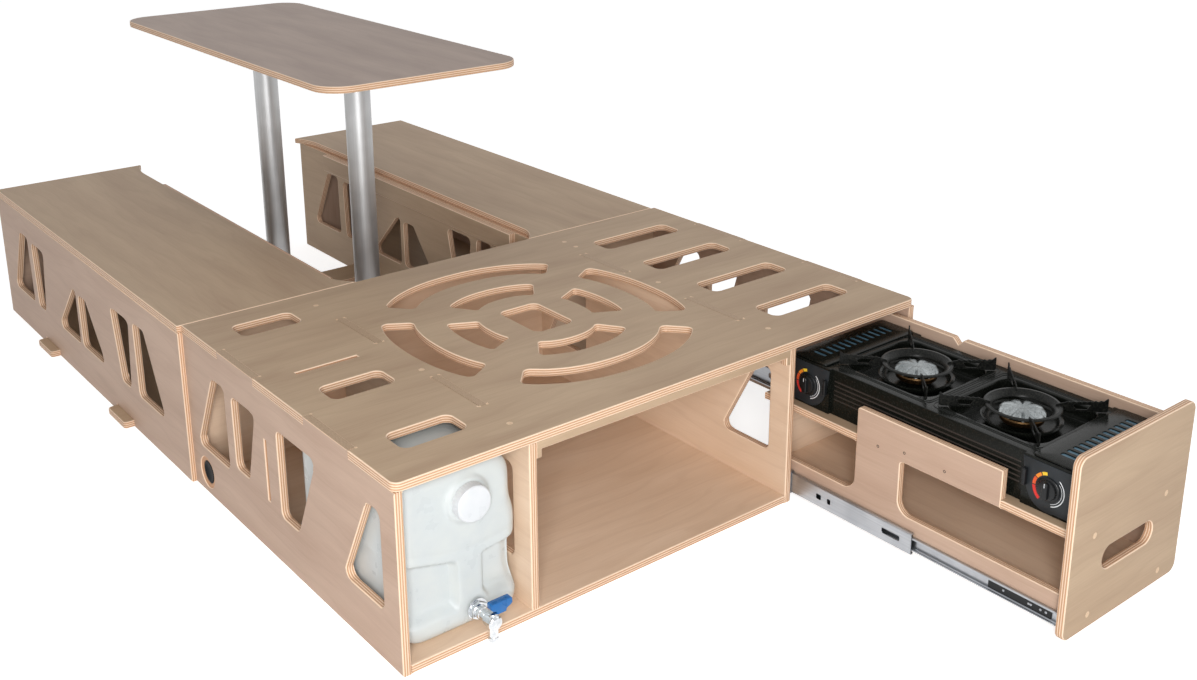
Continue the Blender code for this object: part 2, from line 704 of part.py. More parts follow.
def make_slats():
    """Two slats across the floor that tie the benches and carry the leg sockets."""
    for name, start in zip(LEG_NAMES, slat_starts()):
        outline = rounded(rectangle(LEFT - SLAT_OVERHANG, start, RIGHT + SLAT_OVERHANG, start + SLAT_WIDTH),
                          SLAT_CORNER)
        prism(f"floor_slat_{name}", outline, [], "Z", 0.0, PLY, birch_ply())


def make_table():
    """Sockets, two tube legs and the table top with its collars."""
    bore = LEG_RADIUS + LEG_CLEARANCE
    socket_foot = PLY + SEAT_GAP
    leg_foot = socket_foot + SOCKET_FLANGE + SEAT_GAP
    collar_top = TABLE_FOOT - SEAT_GAP
    leg_top = collar_top - SOCKET_FLANGE - SEAT_GAP
    leg_length = leg_top - leg_foot
    socket = [(0.0, 0.0), (SOCKET_FLANGE_RADIUS, 0.0), (SOCKET_FLANGE_RADIUS, SOCKET_FLANGE),
              (bore + SOCKET_WALL, SOCKET_FLANGE), (bore + SOCKET_WALL, SOCKET_HEIGHT), (bore, SOCKET_HEIGHT),
              (bore, SOCKET_FLANGE), (0.0, SOCKET_FLANGE)]
    collar = [(0.0, 0.0), (COLLAR_FLANGE_RADIUS, 0.0), (COLLAR_FLANGE_RADIUS, -SOCKET_FLANGE),
              (bore + LEG_WALL, -SOCKET_FLANGE), (bore + LEG_WALL, -COLLAR_HEIGHT), (bore, -COLLAR_HEIGHT),
              (bore, -SOCKET_FLANGE), (0.0, -SOCKET_FLANGE)]
    tube = [(LEG_RADIUS, 0.0), (LEG_RADIUS, leg_length), (LEG_RADIUS - LEG_WALL, leg_length),
            (LEG_RADIUS - LEG_WALL, 0.0)]
    legs = {name: joint_frame(f"leg_{name}_lift", (0, place, leg_foot))
            for name, place in zip(LEG_NAMES, LEG_PLACES)}
    table = joint_frame("table_lift", (0, LEG_PLACES[0], TABLE_FOOT), legs[LEG_NAMES[0]])
    for name, place in zip(LEG_NAMES, LEG_PLACES):
        turned(f"leg_socket_{name}", socket, "Z", (0, place, socket_foot), black_plastic())
        turned(f"table_leg_{name}", tube, "Z", (0, place, leg_foot), aluminium(), legs[name])
        turned(f"table_collar_{name}", collar, "Z", (0, place, collar_top), aluminium(), table)
    middle = sum(LEG_PLACES) / 2 - TABLE_SHIFT
    outline = rounded(rectangle(-TABLE_WIDTH / 2, middle - TABLE_LENGTH / 2,
                                TABLE_WIDTH / 2, middle + TABLE_LENGTH / 2), TABLE_CORNER, 2 * CORNER_STEPS)
    prism("table_top", outline, [], "Z", TABLE_FOOT, PLY, birch_ply(), parent=table)


def drawer_side_outline():
    """Left side of the drawer: foot rail, post, and the strip that holds the shelf's edge."""
    start = DRAWER_START + SEAT_GAP
    foot_end = DRAWER_START + DRAWER_LENGTH
    strip_foot = SHELF_HEIGHT - PLY
    corners = [(start, DRAWER_FOOT), (foot_end, DRAWER_FOOT), (foot_end, DRAWER_RAIL_TOP),
               (DRAWER_START + POST_END, DRAWER_RAIL_TOP), (DRAWER_START + POST_END, DRAWER_STRIP_TOP),
               (DRAWER_START + STRIP_START, DRAWER_STRIP_TOP), (DRAWER_START + STRIP_START, strip_foot),
               (DRAWER_START + POST_START, strip_foot), (DRAWER_START + POST_START, DRAWER_RAIL_TOP),
               (start, DRAWER_RAIL_TOP)]
    small = DRAWER_FILLET / 4
    radii = [0, 0, small, DRAWER_FILLET, small, 0, 0, small, DRAWER_FILLET, 0]
    return rounded(corners, radii)


def drawer_right_outline():
    """Right side of the drawer, plain and tall, with a small notch in its top edge."""
    start = DRAWER_START + SEAT_GAP
    end = DRAWER_START + DRAWER_LENGTH
    notch = DRAWER_START + POST_END
    half = DRAWER_NOTCH_WIDTH / 2
    top = DRAWER_RIGHT_TOP
    corners = [(start, DRAWER_FOOT), (end, DRAWER_FOOT), (end, top), (notch + half, top),
               (notch, top - DRAWER_NOTCH_DEPTH), (notch - half, top), (start, top)]
    return rounded(corners, [0, 0, DRAWER_FILLET / 4, DRAWER_FILLET / 4, 0, DRAWER_FILLET / 4, 0])


def make_drawer(drawer):
    """Front, sides, floor, shelf and back of the drawer."""
    gap = SEAT_GAP
    middle = (DRAWER_LEFT + DRAWER_RIGHT) / 2 + DRAWER_FRONT_SHIFT
    half = DRAWER_FRONT_WIDTH / 2
    outline = rounded(rectangle(middle - half, DRAWER_FRONT_RISE, middle + half,
                                DRAWER_FRONT_RISE + DRAWER_FRONT_HEIGHT), DRAWER_FRONT_CORNER)
    handle = slot(middle, HANDLE_RISE, HANDLE_LENGTH, HANDLE_HEIGHT, HANDLE_HEIGHT / 2)
    prism("drawer_front", outline, [handle], "Y", DRAWER_START - PLY, PLY, birch_ply(), parent=drawer)
    prism("drawer_side_left", drawer_side_outline(), [], "X", DRAWER_LEFT, PLY, birch_ply(), parent=drawer)
    prism("drawer_side_right", drawer_right_outline(), [], "X", DRAWER_RIGHT - PLY, PLY, birch_ply(),
          parent=drawer)
    low_x = DRAWER_LEFT + PLY + gap
    high_x = DRAWER_RIGHT - PLY - gap
    near = DRAWER_START + gap
    back = DRAWER_START + DRAWER_LENGTH - PLY
    floor_foot = DRAWER_FOOT + DRAWER_FLOOR_RISE
    prism("drawer_floor", rectangle(low_x, near, high_x, back - gap), [], "Z", floor_foot, PLY, birch_ply(),
          parent=drawer)
    prism("drawer_back", rectangle(low_x, DRAWER_FOOT, high_x, SHELF_HEIGHT - PLY - gap), [], "Y", back, PLY,
          birch_ply(), parent=drawer)
    end = DRAWER_START + DRAWER_LENGTH
    strip_near = DRAWER_START + STRIP_START - gap
    post_far = DRAWER_START + POST_END + gap
    shelf = [(DRAWER_LEFT, near), (high_x, near), (high_x, end), (DRAWER_LEFT, end), (DRAWER_LEFT, post_far),
             (low_x, post_far), (low_x, strip_near), (DRAWER_LEFT, strip_near)]
    prism("drawer_shelf", shelf, [], "Z", SHELF_HEIGHT - PLY, PLY, birch_ply(), parent=drawer)


def channel(face, inward, near, far, height, lip):
    """Outline in X and Z of a pressed channel: web at near, flanges to far, lips of that length."""
    low = SLIDE_RISE - height / 2
    high = SLIDE_RISE + height / 2
    sheet = SLIDE_SHEET
    corners = [(near, low), (far, low), (far, low + sheet + lip), (far - sheet, low + sheet + lip),
               (far - sheet, low + sheet), (near + sheet, low + sheet), (near + sheet, high - sheet),
               (far - sheet, high - sheet), (far - sheet, high - sheet - lip), (far, high - sheet - lip),
               (far, high), (near, high)]
    if lip == 0:
        corners = [corners[i] for i in (0, 1, 2, 5, 6, 9, 10, 11)]
    return [(face + inward * u, v) for u, v in corners]


def make_slides(drawer, middles):
    """Three-part telescopic slide on each side of the drawer."""
    start = FRONT + DRAWER_STAND_OFF
    gap = SLIDE_RUNNING_GAP
    middle_near = SLIDE_SHEET + SEAT_GAP + gap
    middle_far = middle_near + SLIDE_MIDDLE_DEPTH
    inner_near = middle_near + SLIDE_SHEET + gap
    inner_lip = (SLIDE_MIDDLE_HEIGHT - SLIDE_INNER_HEIGHT) / 2 - SLIDE_SHEET - gap
    faces = {"left": (RIGHT_DIVIDER + PLY, 1), "right": (RIGHT - PLY, -1)}
    for side, (face, inward) in faces.items():
        outer = channel(face, inward, SEAT_GAP, SEAT_GAP + middle_far, SLIDE_OUTER_HEIGHT, 0)
        prism(f"slide_outer_{side}", outer, [], "Y", start, SLIDE_LENGTH, zinc_steel())
        middle = channel(face, inward, middle_near, middle_far, SLIDE_MIDDLE_HEIGHT, inner_lip)
        prism(f"slide_middle_{side}", middle, [], "Y", start - DRAWER_TRAVEL / 2, SLIDE_LENGTH, zinc_steel(),
              parent=middles)
        inner = channel(face, inward, inner_near, SLIDE_THICKNESS - SEAT_GAP, SLIDE_INNER_HEIGHT, 0)
        prism(f"slide_inner_{side}", inner, [], "Y", start - DRAWER_TRAVEL, SLIDE_LENGTH, zinc_steel(),
              parent=drawer)


def stove_ends():
    """Name, outer end in Y and direction towards the stove's middle, for both ends."""
    return (("front", STOVE_START, 1), ("rear", STOVE_START + STOVE_LENGTH, -1))


def stove_outline():
    """Plan of the stove's casing, a little narrower between its two ends."""
    half = STOVE_WIDTH / 2
    waist = half - STOVE_WAIST
    near = STOVE_START
    far = STOVE_START + STOVE_LENGTH
    corners = [(-half, near), (half, near), (half, near + STOVE_END), (waist, near + STOVE_END),
               (waist, far - STOVE_END), (half, far - STOVE_END), (half, far), (-half, far),
               (-half, far - STOVE_END), (-waist, far - STOVE_END), (-waist, near + STOVE_END),
               (-half, near + STOVE_END)]
    outer = (0, 1, 6, 7)
    radii = [STOVE_CORNER if place in outer else 0 for place in range(len(corners))]
    return [(STOVE_MIDDLE_X + u, v) for u, v in rounded(corners, radii)]


def burner_places():
    """Name and Y of each burner."""
    half = BURNER_SPACING / 2
    middle = STOVE_MIDDLE_Y
    return (("front", middle - half), ("rear", middle + half))


def hollow_casing(body):
    """Hollows the casing from below, leaving sheet walls, the top and the two well pans."""
    half = STOVE_WIDTH / 2 - STOVE_WAIST - STOVE_SHEET
    hollow = rectangle(STOVE_MIDDLE_X - half, STOVE_START + BAY_DEPTH,
                       STOVE_MIDDLE_X + half, STOVE_START + STOVE_LENGTH - BAY_DEPTH)
    pans = [slot(STOVE_MIDDLE_X, place, WELL_WIDTH + 2 * STOVE_SHEET, WELL_LENGTH + 2 * STOVE_SHEET,
                 WELL_CORNER + STOVE_SHEET) for name, place in burner_places()]
    below = STOVE_FOOT - CUT_OVERRUN
    under_top = STOVE_TOP - STOVE_SHEET
    cuts = {"round_pans": (pans, under_top), "under_pans": ([], under_top - WELL_DEPTH)}
    for name, (holes, top) in cuts.items():
        combine(body, prism(f"hollow_cutter_{name}", hollow, holes, "Z", below, top - below, black_enamel()),
                "DIFFERENCE")


def make_stove_body(drawer):
    """Sheet casing with a well pan round each burner and an open cartridge bay at each end."""
    body = prism("stove_body", stove_outline(), [], "Z", STOVE_FOOT, STOVE_HEIGHT, black_enamel(),
                 parent=drawer)
    hollow_casing(body)
    above = CUT_OVERRUN
    for name, place in burner_places():
        well = slot(STOVE_MIDDLE_X, place, WELL_WIDTH, WELL_LENGTH, WELL_CORNER)
        combine(body, prism(f"well_cutter_{name}", well, [], "Z", STOVE_TOP - WELL_DEPTH, WELL_DEPTH + above,
                            black_enamel()), "DIFFERENCE")
    bay_foot = STOVE_FOOT + STOVE_SHEET
    half = STOVE_WIDTH / 2 - STOVE_SHEET
    for name, end, inward in stove_ends():
        near = end + inward * STOVE_SHEET
        far = near + inward * CARTRIDGE_BAY_LENGTH
        bay = rectangle(STOVE_MIDDLE_X - half, min(near, far), STOVE_MIDDLE_X + half, max(near, far))
        combine(body, prism(f"bay_cutter_{name}", bay, [], "Z", bay_foot, STOVE_TOP - bay_foot + above,
                            black_enamel()), "DIFFERENCE")


def support_outline(middle_y):
    """Plan of a pan support: a ring with four fins on the diagonals."""
    half = SUPPORT_SHEET / 2
    span = (STOVE_LENGTH - BURNER_SPACING) / 2 - LID_DEPTH - SUPPORT_CLEARANCE
    reach = (span - half) * math.sqrt(2)
    steps = CORNER_STEPS
    side = math.asin(half / SUPPORT_RING_RADIUS)
    outline = []
    for quarter in range(4):
        turn = math.pi / 4 + quarter * math.pi / 2
        along = Vector((math.cos(turn), math.sin(turn)))
        across = Vector((-along.y, along.x)) * half
        outline += [tuple(along * reach - across), tuple(along * reach + across)]
        first = turn + side
        last = turn + math.pi / 2 - side
        for step in range(steps + 1):
            angle = first + (last - first) * step / steps
            outline.append((SUPPORT_RING_RADIUS * math.cos(angle), SUPPORT_RING_RADIUS * math.sin(angle)))
    return [(STOVE_MIDDLE_X + u, middle_y + v) for u, v in outline]


def make_burners(drawer):
    """Burner head and pan support of each flame."""
    floor = STOVE_TOP - WELL_DEPTH + SEAT_GAP
    collar = BURNER_HEIGHT * BURNER_COLLAR_SHARE
    brim = BURNER_HEIGHT * BURNER_BRIM_SHARE
    profile = [(0.0, 0.0), (BURNER_BASE_RADIUS, 0.0), (BURNER_BASE_RADIUS, collar),
               (BURNER_NECK_RADIUS, collar), (BURNER_NECK_RADIUS, brim), (BURNER_HEAD_RADIUS, brim),
               (BURNER_HEAD_RADIUS, BURNER_HEIGHT), (0.0, BURNER_HEIGHT)]
    for name, place in burner_places():
        turned(f"burner_{name}", profile, "Z", (STOVE_MIDDLE_X, place, floor), burner_alloy(), drawer)
        hole = disc(STOVE_MIDDLE_X, place, SUPPORT_RING_RADIUS - SUPPORT_SHEET, 2 * SMALL_SIDES)
        prism(f"pan_support_{name}", support_outline(place), [hole], "Z", STOVE_TOP + SEAT_GAP,
              SUPPORT_HEIGHT, black_enamel(), (STOVE_MIDDLE_X, place, STOVE_TOP), drawer)


def make_cartridges(drawer):
    """Gas cartridge and hinged lid at each end of the stove."""
    rise = STOVE_FOOT + STOVE_SHEET + SEAT_GAP + CARTRIDGE_RADIUS
    neck = CARTRIDGE_NECK_RADIUS
    shoulder = CARTRIDGE_RADIUS - neck
    profile = [(0.0, 0.0), (neck, 0.0), (neck, neck), (CARTRIDGE_RADIUS, shoulder),
               (CARTRIDGE_RADIUS, CARTRIDGE_LENGTH), (0.0, CARTRIDGE_LENGTH)]
    near_x = STOVE_FACE + STOVE_SHEET + SEAT_GAP
    half = STOVE_WIDTH / 2 - STOVE_LID
    for name, end, inward in stove_ends():
        middle = end + inward * (STOVE_SHEET + CARTRIDGE_BAY_LENGTH / 2)
        turned(f"gas_cartridge_{name}", profile, "X", (near_x, middle, rise), cartridge_tin(), drawer,
               SMALL_SIDES)
        hinge_y = end + inward * LID_DEPTH
        hinge = joint_frame(f"cartridge_lid_{name}_hinge",
                            (STOVE_MIDDLE_X, hinge_y, STOVE_TOP + SEAT_GAP), drawer)
        outer_y = end + inward * STOVE_LID
        plan = rounded(rectangle(STOVE_MIDDLE_X - half, min(outer_y, hinge_y),
                                 STOVE_MIDDLE_X + half, max(outer_y, hinge_y)), STOVE_CORNER / 2)
        prism(f"cartridge_lid_{name}", plan, [], "Z", STOVE_TOP + SEAT_GAP, STOVE_LID, black_enamel(),
              tuple(hinge.location), hinge)


def make_knobs(drawer):
    """Gas knob and cartridge lock lever at each end of the stove's face."""
    profile = [(0.0, 0.0), (KNOB_RADIUS, 0.0), (KNOB_RADIUS, -KNOB_DEPTH + KNOB_GRIP),
               (KNOB_RADIUS - KNOB_GRIP / 2, -KNOB_DEPTH + KNOB_GRIP),
               (KNOB_RADIUS - KNOB_GRIP / 2, -KNOB_DEPTH), (0.0, -KNOB_DEPTH)]
    for name, end, inward in stove_ends():
        place = (STOVE_FACE - SEAT_GAP, end + inward * KNOB_INSET, STOVE_FOOT + KNOB_RISE)
        turned(f"gas_knob_{name}", profile, "X", place, black_plastic(), drawer, SMALL_SIDES)
        middle = end + inward * LEVER_INSET
        foot = STOVE_FOOT + KNOB_RISE - LEVER_HEIGHT / 4
        half = LEVER_WIDTH / 2
        outline = rounded(rectangle(middle - half, foot, middle + half, foot + LEVER_HEIGHT), half / 2, 2)
        prism(f"lock_lever_{name}", outline, [], "X", STOVE_FACE - SEAT_GAP - LEVER_DEPTH, LEVER_DEPTH,
              black_plastic(), parent=drawer)


def can_outline():
    """Outline in X and Z of the can: two swellings on the right and a finger step between."""
    right = CAN_LEFT + CAN_WIDTH
    foot = CAN_FOOT
    inset = right - CAN_WAVE
    swells = [foot + share * CAN_HEIGHT for share in CAN_SWELL_SHARES]
    sides = [right, inset, inset, right, right, inset]
    corners = [(CAN_LEFT, foot), (right, foot), *zip(sides, swells), (inset, foot + CAN_HEIGHT),
               (CAN_LEFT, foot + CAN_HEIGHT)]
    wave = CAN_CORNER / 2
    radii = [CAN_CORNER, CAN_CORNER, wave, wave, 0, CAN_EDGE, wave, wave, CAN_CORNER, CAN_CORNER / 3]
    return rounded(corners, radii)


def make_water_can():
    """Can with its screw cap, tap and tap handle; it pulls out of the left bay."""
    can = joint_frame("water_can_slide", (CAN_LEFT + CAN_WIDTH / 2, CAN_FACE, CAN_FOOT))
    body = prism("water_can", can_outline(), [], "Y", CAN_FACE, CAN_DEPTH, can_plastic(), parent=can)
    edge = body.modifiers.new("edge", "BEVEL")
    edge.width = CAN_EDGE
    edge.segments = 2
    edge.limit_method = "ANGLE"
    edge.angle_limit = math.radians(60)
    body.data.shade_smooth()

    cap_x = CAN_LEFT + CAP_SIDE_SHARE * CAN_WIDTH
    cap_z = CAN_FOOT + CAP_RISE_SHARE * CAN_HEIGHT
    cap = [(0.0, 0.0), (CAP_NECK_RADIUS, 0.0), (CAP_NECK_RADIUS, -CAP_NECK), (CAP_RADIUS, -CAP_NECK),
           (CAP_RADIUS, -CAP_DEPTH), (0.0, -CAP_DEPTH)]
    turned("can_cap", cap, "Y", (cap_x, CAN_FACE - SEAT_GAP, cap_z), cap_plastic(), can)

    tap_x = CAN_LEFT + TAP_SIDE_SHARE * CAN_WIDTH
    tap_z = CAN_FOOT + TAP_RISE
    nut_and_barrel = [(0.0, 0.0), (TAP_NUT_RADIUS, 0.0), (TAP_NUT_RADIUS, -TAP_NUT),
                      (TAP_BODY_RADIUS, -TAP_NUT), (TAP_BODY_RADIUS, -TAP_REACH), (0.0, -TAP_REACH)]
    barrel = turned("tap_body", nut_and_barrel, "Y", (tap_x, CAN_FACE - SEAT_GAP, tap_z), chrome(), can,
                    SMALL_SIDES)
    mouth_y = CAN_FACE - SEAT_GAP - TAP_REACH + TAP_BODY_RADIUS
    spout_top = TAP_BODY_RADIUS / 2
    spout = [(0.0, spout_top), (SPOUT_RADIUS, spout_top), (SPOUT_RADIUS, -TAP_BODY_RADIUS - SPOUT_DROP),
             (0.0, -TAP_BODY_RADIUS - SPOUT_DROP)]
    combine(barrel, turned("spout_tool", spout, "Z", (tap_x, mouth_y, tap_z), chrome(), sides=SMALL_SIDES),
            "UNION")
    make_tap_handle(can, (tap_x, mouth_y, tap_z))


def make_tap_handle(can, place):
    """Blue handle that turns on the tap's upright stem; it points across the spout when shut."""
    low = place[2] + TAP_BODY_RADIUS + SEAT_GAP
    stem = [(0.0, 0.0), (TAP_STEM_RADIUS, 0.0), (TAP_STEM_RADIUS, TAP_STEM), (0.0, TAP_STEM)]
    handle = turned("tap_handle", stem, "Z", (place[0], place[1], low), blue_plastic(), can, SMALL_SIDES)
    foot = low + TAP_STEM - TAP_HANDLE_HEIGHT / 2
    half = TAP_HANDLE_WIDTH / 2
    plan = rounded(rectangle(place[0] - half, place[1] - half, place[0] - half + TAP_HANDLE_LENGTH,
                             place[1] + half), half / 2)
    combine(handle, prism("handle_tool", plan, [], "Z", foot, TAP_HANDLE_HEIGHT, blue_plastic()), "UNION")


def main():
    """Builds every piece of the kitchen box."""
    clear_scene()
    make_front_box()
    make_bench("left", LEFT - BENCH_OFFSET, 1, BENCH_WIDTH + BENCH_OFFSET)
    make_bench("right", RIGHT - BENCH_OFFSET, -1, BENCH_WIDTH - BENCH_OFFSET)
    make_slats()
    make_table()
    drawer = joint_frame("drawer_slide", ((DRAWER_LEFT + DRAWER_RIGHT) / 2, DRAWER_START, SLIDE_RISE))
    middles = joint_frame("slide_middles", ((DRAWER_LEFT + DRAWER_RIGHT) / 2, FRONT, SLIDE_RISE))
    make_drawer(drawer)
    make_slides(drawer, middles)
    make_stove_body(drawer)
    make_burners(drawer)
    make_cartridges(drawer)
    make_knobs(drawer)
    make_water_can()


main()
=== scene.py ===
"""Dresses the camper van kitchen box: a plywood front box with a pull-out stove drawer and a water can,
two bed benches behind it, and a table on two legs between them."""

import json
import logging
import math
from dataclasses import dataclass, field
from enum import Enum

import bpy
import numpy as np
from mathutils import Euler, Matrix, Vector
from mathutils.bvhtree import BVHTree
from mathutils.geometry import delaunay_2d_cdt

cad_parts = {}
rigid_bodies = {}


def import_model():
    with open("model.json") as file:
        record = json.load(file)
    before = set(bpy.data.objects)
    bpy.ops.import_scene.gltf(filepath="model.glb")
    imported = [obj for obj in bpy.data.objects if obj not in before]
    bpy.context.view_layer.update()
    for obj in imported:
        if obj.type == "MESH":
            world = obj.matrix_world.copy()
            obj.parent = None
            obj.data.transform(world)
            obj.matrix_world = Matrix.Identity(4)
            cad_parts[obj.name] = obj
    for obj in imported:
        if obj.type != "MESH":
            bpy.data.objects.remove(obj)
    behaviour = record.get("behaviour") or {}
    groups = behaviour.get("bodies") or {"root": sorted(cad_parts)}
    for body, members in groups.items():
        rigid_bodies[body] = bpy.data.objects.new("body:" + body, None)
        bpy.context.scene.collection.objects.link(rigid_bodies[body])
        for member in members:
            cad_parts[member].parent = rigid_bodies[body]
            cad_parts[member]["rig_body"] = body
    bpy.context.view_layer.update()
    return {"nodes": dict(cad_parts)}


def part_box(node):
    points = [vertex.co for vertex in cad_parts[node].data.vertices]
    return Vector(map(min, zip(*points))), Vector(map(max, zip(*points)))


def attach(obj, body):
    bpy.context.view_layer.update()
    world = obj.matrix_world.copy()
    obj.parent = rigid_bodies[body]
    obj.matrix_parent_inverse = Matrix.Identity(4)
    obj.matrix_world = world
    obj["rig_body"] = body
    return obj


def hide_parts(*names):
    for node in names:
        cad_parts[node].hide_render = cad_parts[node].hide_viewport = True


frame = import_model()
LOG = logging.getLogger("kitchen_box")
MM = 0.001
SHARP_TURN = math.radians(32)
# A chord is part of an arc if its line turns by no more and no less than this at its ends
ARC_TURN = math.radians(48)
ARC_STRAIGHT = 0.004
Point = tuple[float, float, float]
Rows = list[tuple[float, ...]]
Shape = tuple[np.ndarray, list]
Tree = bpy.types.NodeTree
Socket = bpy.types.NodeSocket
Value = Socket | float


class Axis(Enum):
    """The direction that a panel's thickness or a turned piece's middle line runs in."""

    X = 0
    Y = 1
    Z = 2


# Colours and shader nodes

def linear(colour: str) -> tuple[float, float, float, float]:
    """Turns an sRGB hex colour into the linear colour of a shader socket.

    Args:
        colour: The colour as "#rrggbb".

    Returns:
        Red, green and blue by the sRGB curve, and an alpha of 1.
    """
    channels = [int(colour[place:place + 2], 16) / 255 for place in (1, 3, 5)]
    curved = [c / 12.92 if c <= 0.04045 else ((c + 0.055) / 1.055) ** 2.4 for c in channels]
    return curved[0], curved[1], curved[2], 1.0


def add_node(tree: Tree, kind: str, inputs: dict | None = None, stops: list[tuple[float, str]] | None = None,
             **settings: object) -> bpy.types.Node:
    """Adds a node with its settings, its colour stops and its inputs, which are values or sockets to link.

    Args:
        tree: The node tree that gets the node.
        kind: The node's type name, without the "ShaderNode" that each begins with.
        inputs: Values or output sockets by input name or number.
        stops: Places and hex colours of a colour ramp.
        settings: Properties of the node by name.

    Returns:
        The new node.
    """
    node = tree.nodes.new("ShaderNode" + kind)
    for name, value in settings.items():
        setattr(node, name, value)
    if stops:
        elements = node.color_ramp.elements
        while len(elements) < len(stops):
            elements.new(1.0)
        for element, (place, colour) in zip(elements, stops):
            element.position = place
            element.color = linear(colour)
    for name, value in (inputs or {}).items():
        if isinstance(value, Socket):
            tree.links.new(value, node.inputs[name])
        else:
            node.inputs[name].default_value = value
    return node


def maths(tree: Tree, operation: str, *values: Value) -> Socket:
    """A maths node's result."""
    return add_node(tree, "Math", dict(enumerate(values)), operation=operation).outputs[0]


def noise(tree: Tree, place: Socket, scale: float | Point, detail: float, rough: float = 0.5) -> Socket:
    """A noise by features a metre, which may differ on X, Y and Z."""
    if isinstance(scale, tuple):
        place = add_node(tree, "Mapping", {"Vector": place, "Scale": scale}).outputs[0]
        scale = 1.0
    inputs = {"Vector": place, "Scale": scale, "Detail": detail, "Roughness": rough}
    return add_node(tree, "TexNoise", inputs).outputs[0]


def ranged(tree: Tree, value: Socket, *limits: float) -> Socket:
    """A value between the first two limits, carried to the last two, which are 0 and 1 if they are left out."""
    return add_node(tree, "MapRange", {0: value, **dict(enumerate(limits, 1))}).outputs[0]


def ramp(tree: Tree, value: Socket, *stops: tuple[float, str]) -> Socket:
    """A value's colour between stops."""
    return add_node(tree, "ValToRGB", {0: value}, list(stops)).outputs[0]


def mixed(tree: Tree, share: Socket, first: Socket | str, second: Socket | str) -> Socket:
    """Two colours, sockets or hex, of which the second takes the share."""
    first, second = (linear(colour) if isinstance(colour, str) else colour for colour in (first, second))
    return add_node(tree, "MixRGB", {0: share, 1: first, 2: second}).outputs[0]


def bump(tree: Tree, height: Socket, strength: float, distance: float) -> Socket:
    """A bumped normal."""
    return add_node(tree, "Bump", {"Height": height, "Strength": strength, "Distance": distance}).outputs[0]


def object_place(tree: Tree) -> Socket:
    """The object coordinates."""
    return add_node(tree, "TexCoord").outputs["Object"]


def seen_rays(tree: Tree) -> Socket:
    """1 on rays from the camera, through clear things and off glossy ones."""
    rays = add_node(tree, "LightPath").outputs
    either = maths(tree, "MAXIMUM", rays["Is Camera Ray"], rays["Is Transmission Ray"])
    return maths(tree, "MAXIMUM", either, rays["Is Glossy Ray"])


def new_material(name: str) -> tuple[bpy.types.Material, Tree]:
    """A material without nodes, and its node tree."""
    material = bpy.data.materials.new(name)
    material.use_nodes = True
    material.node_tree.nodes.clear()
    return material, material.node_tree


# Finishes

@dataclass(frozen=True)
class Finish:
    """A real material; each kind below builds its own nodes."""

    name: str

    def build(self, tree: Tree) -> dict:
        """Builds the nodes of this kind and gives the inputs of its Principled shader."""
        raise NotImplementedError

    def material(self) -> bpy.types.Material:
        """The material of this finish, built once."""
        if self.name in bpy.data.materials:
            return bpy.data.materials[self.name]
        material, tree = new_material(self.name)
        shader = add_node(tree, "BsdfPrincipled", self.build(tree))
        add_node(tree, "OutputMaterial", {"Surface": shader.outputs[0]})
        return material


@dataclass(frozen=True)
class BirchPlywood(Finish):
    """Lacquered birch plywood, sanded, its cut edges left open.

    A face shows rotary-cut birch: broad wandering contour lines and short faint streaks along the grain.
    A cut edge shows seven veneers, every second one end grain and darker, with a thin glue line between. The
    real sheet has eleven, too fine for the render to show.
    The panel_point attribute holds metres along the grain, across it, and down through the thickness.
    """

    face_light: str = "#c5ab8e"
    face_dark: str = "#b1957a"
    line: str = "#a1856a"
    long_ply: str = "#f8ddc2"
    end_ply: str = "#cfa07c"
    glue: str = "#8a6349"
    thickness: float = 15 * MM
    veneers: int = 7
    line_spacing: float = 34 * MM
    roughness: float = 0.5

    def build(self, tree: Tree) -> dict:
        """Builds face figure, edge veneers and a fine bump from the panel_point attribute."""
        place = add_node(tree, "Attribute", attribute_name="panel_point").outputs["Vector"]
        axes = add_node(tree, "SeparateXYZ", {0: place}).outputs

        # Figure: contour lines of a slow noise, 300 mm long features and 60 mm wide ones
        slow = noise(tree, place, (3.0, 15.0, 0.0), 2.0)
        across = maths(tree, "MULTIPLY", axes[1], 2 * math.pi / self.line_spacing)
        wave = maths(tree, "SINE", maths(tree, "MULTIPLY_ADD", slow, 26.0, across))
        lines = ranged(tree, wave, 0.5, 1.0, 0.0, 0.12)

        # Streaks: 3 mm wide and 90 mm long, coarser than real pores so that they show
        streaks = noise(tree, place, (11.0, 330.0, 0.0), 4.0, 0.65)
        shade = maths(tree, "MULTIPLY_ADD", streaks, 0.5, maths(tree, "SUBTRACT", slow, 0.12))
        face = mixed(tree, lines, ramp(tree, shade, (0.42, self.face_light), (0.92, self.face_dark)), self.line)

        # Edge: veneers that share the thickness, with the glue at each joint
        layer = maths(tree, "MULTIPLY", axes[2], self.veneers / self.thickness)
        odd = maths(tree, "FLOORED_MODULO", maths(tree, "FLOOR", layer), 2.0)
        off_middle = maths(tree, "SUBTRACT", maths(tree, "FRACT", layer), 0.5)
        joint = ranged(tree, maths(tree, "ABSOLUTE", off_middle), 0.38, 0.48, 0.0, 0.85)
        fleck = ranged(tree, noise(tree, place, (260.0, 260.0, 700.0), 2.0), 0.35, 0.7, 0.0, 0.1)
        edge = mixed(tree, fleck, mixed(tree, odd, self.long_ply, self.end_ply), self.end_ply)
        edge = mixed(tree, joint, edge, self.glue)

        # A point is on the edge once it is 0.1 to 0.35 mm below either face
        depth = maths(tree, "MINIMUM", axes[2], maths(tree, "SUBTRACT", self.thickness, axes[2]))
        on_edge = ranged(tree, depth, 0.1 * MM, 0.35 * MM)
        return {"Base Color": mixed(tree, on_edge, face, edge), "Roughness": self.roughness,
                "Specular IOR Level": 0.3, "Normal": bump(tree, streaks, 0.12, 0.4 * MM)}


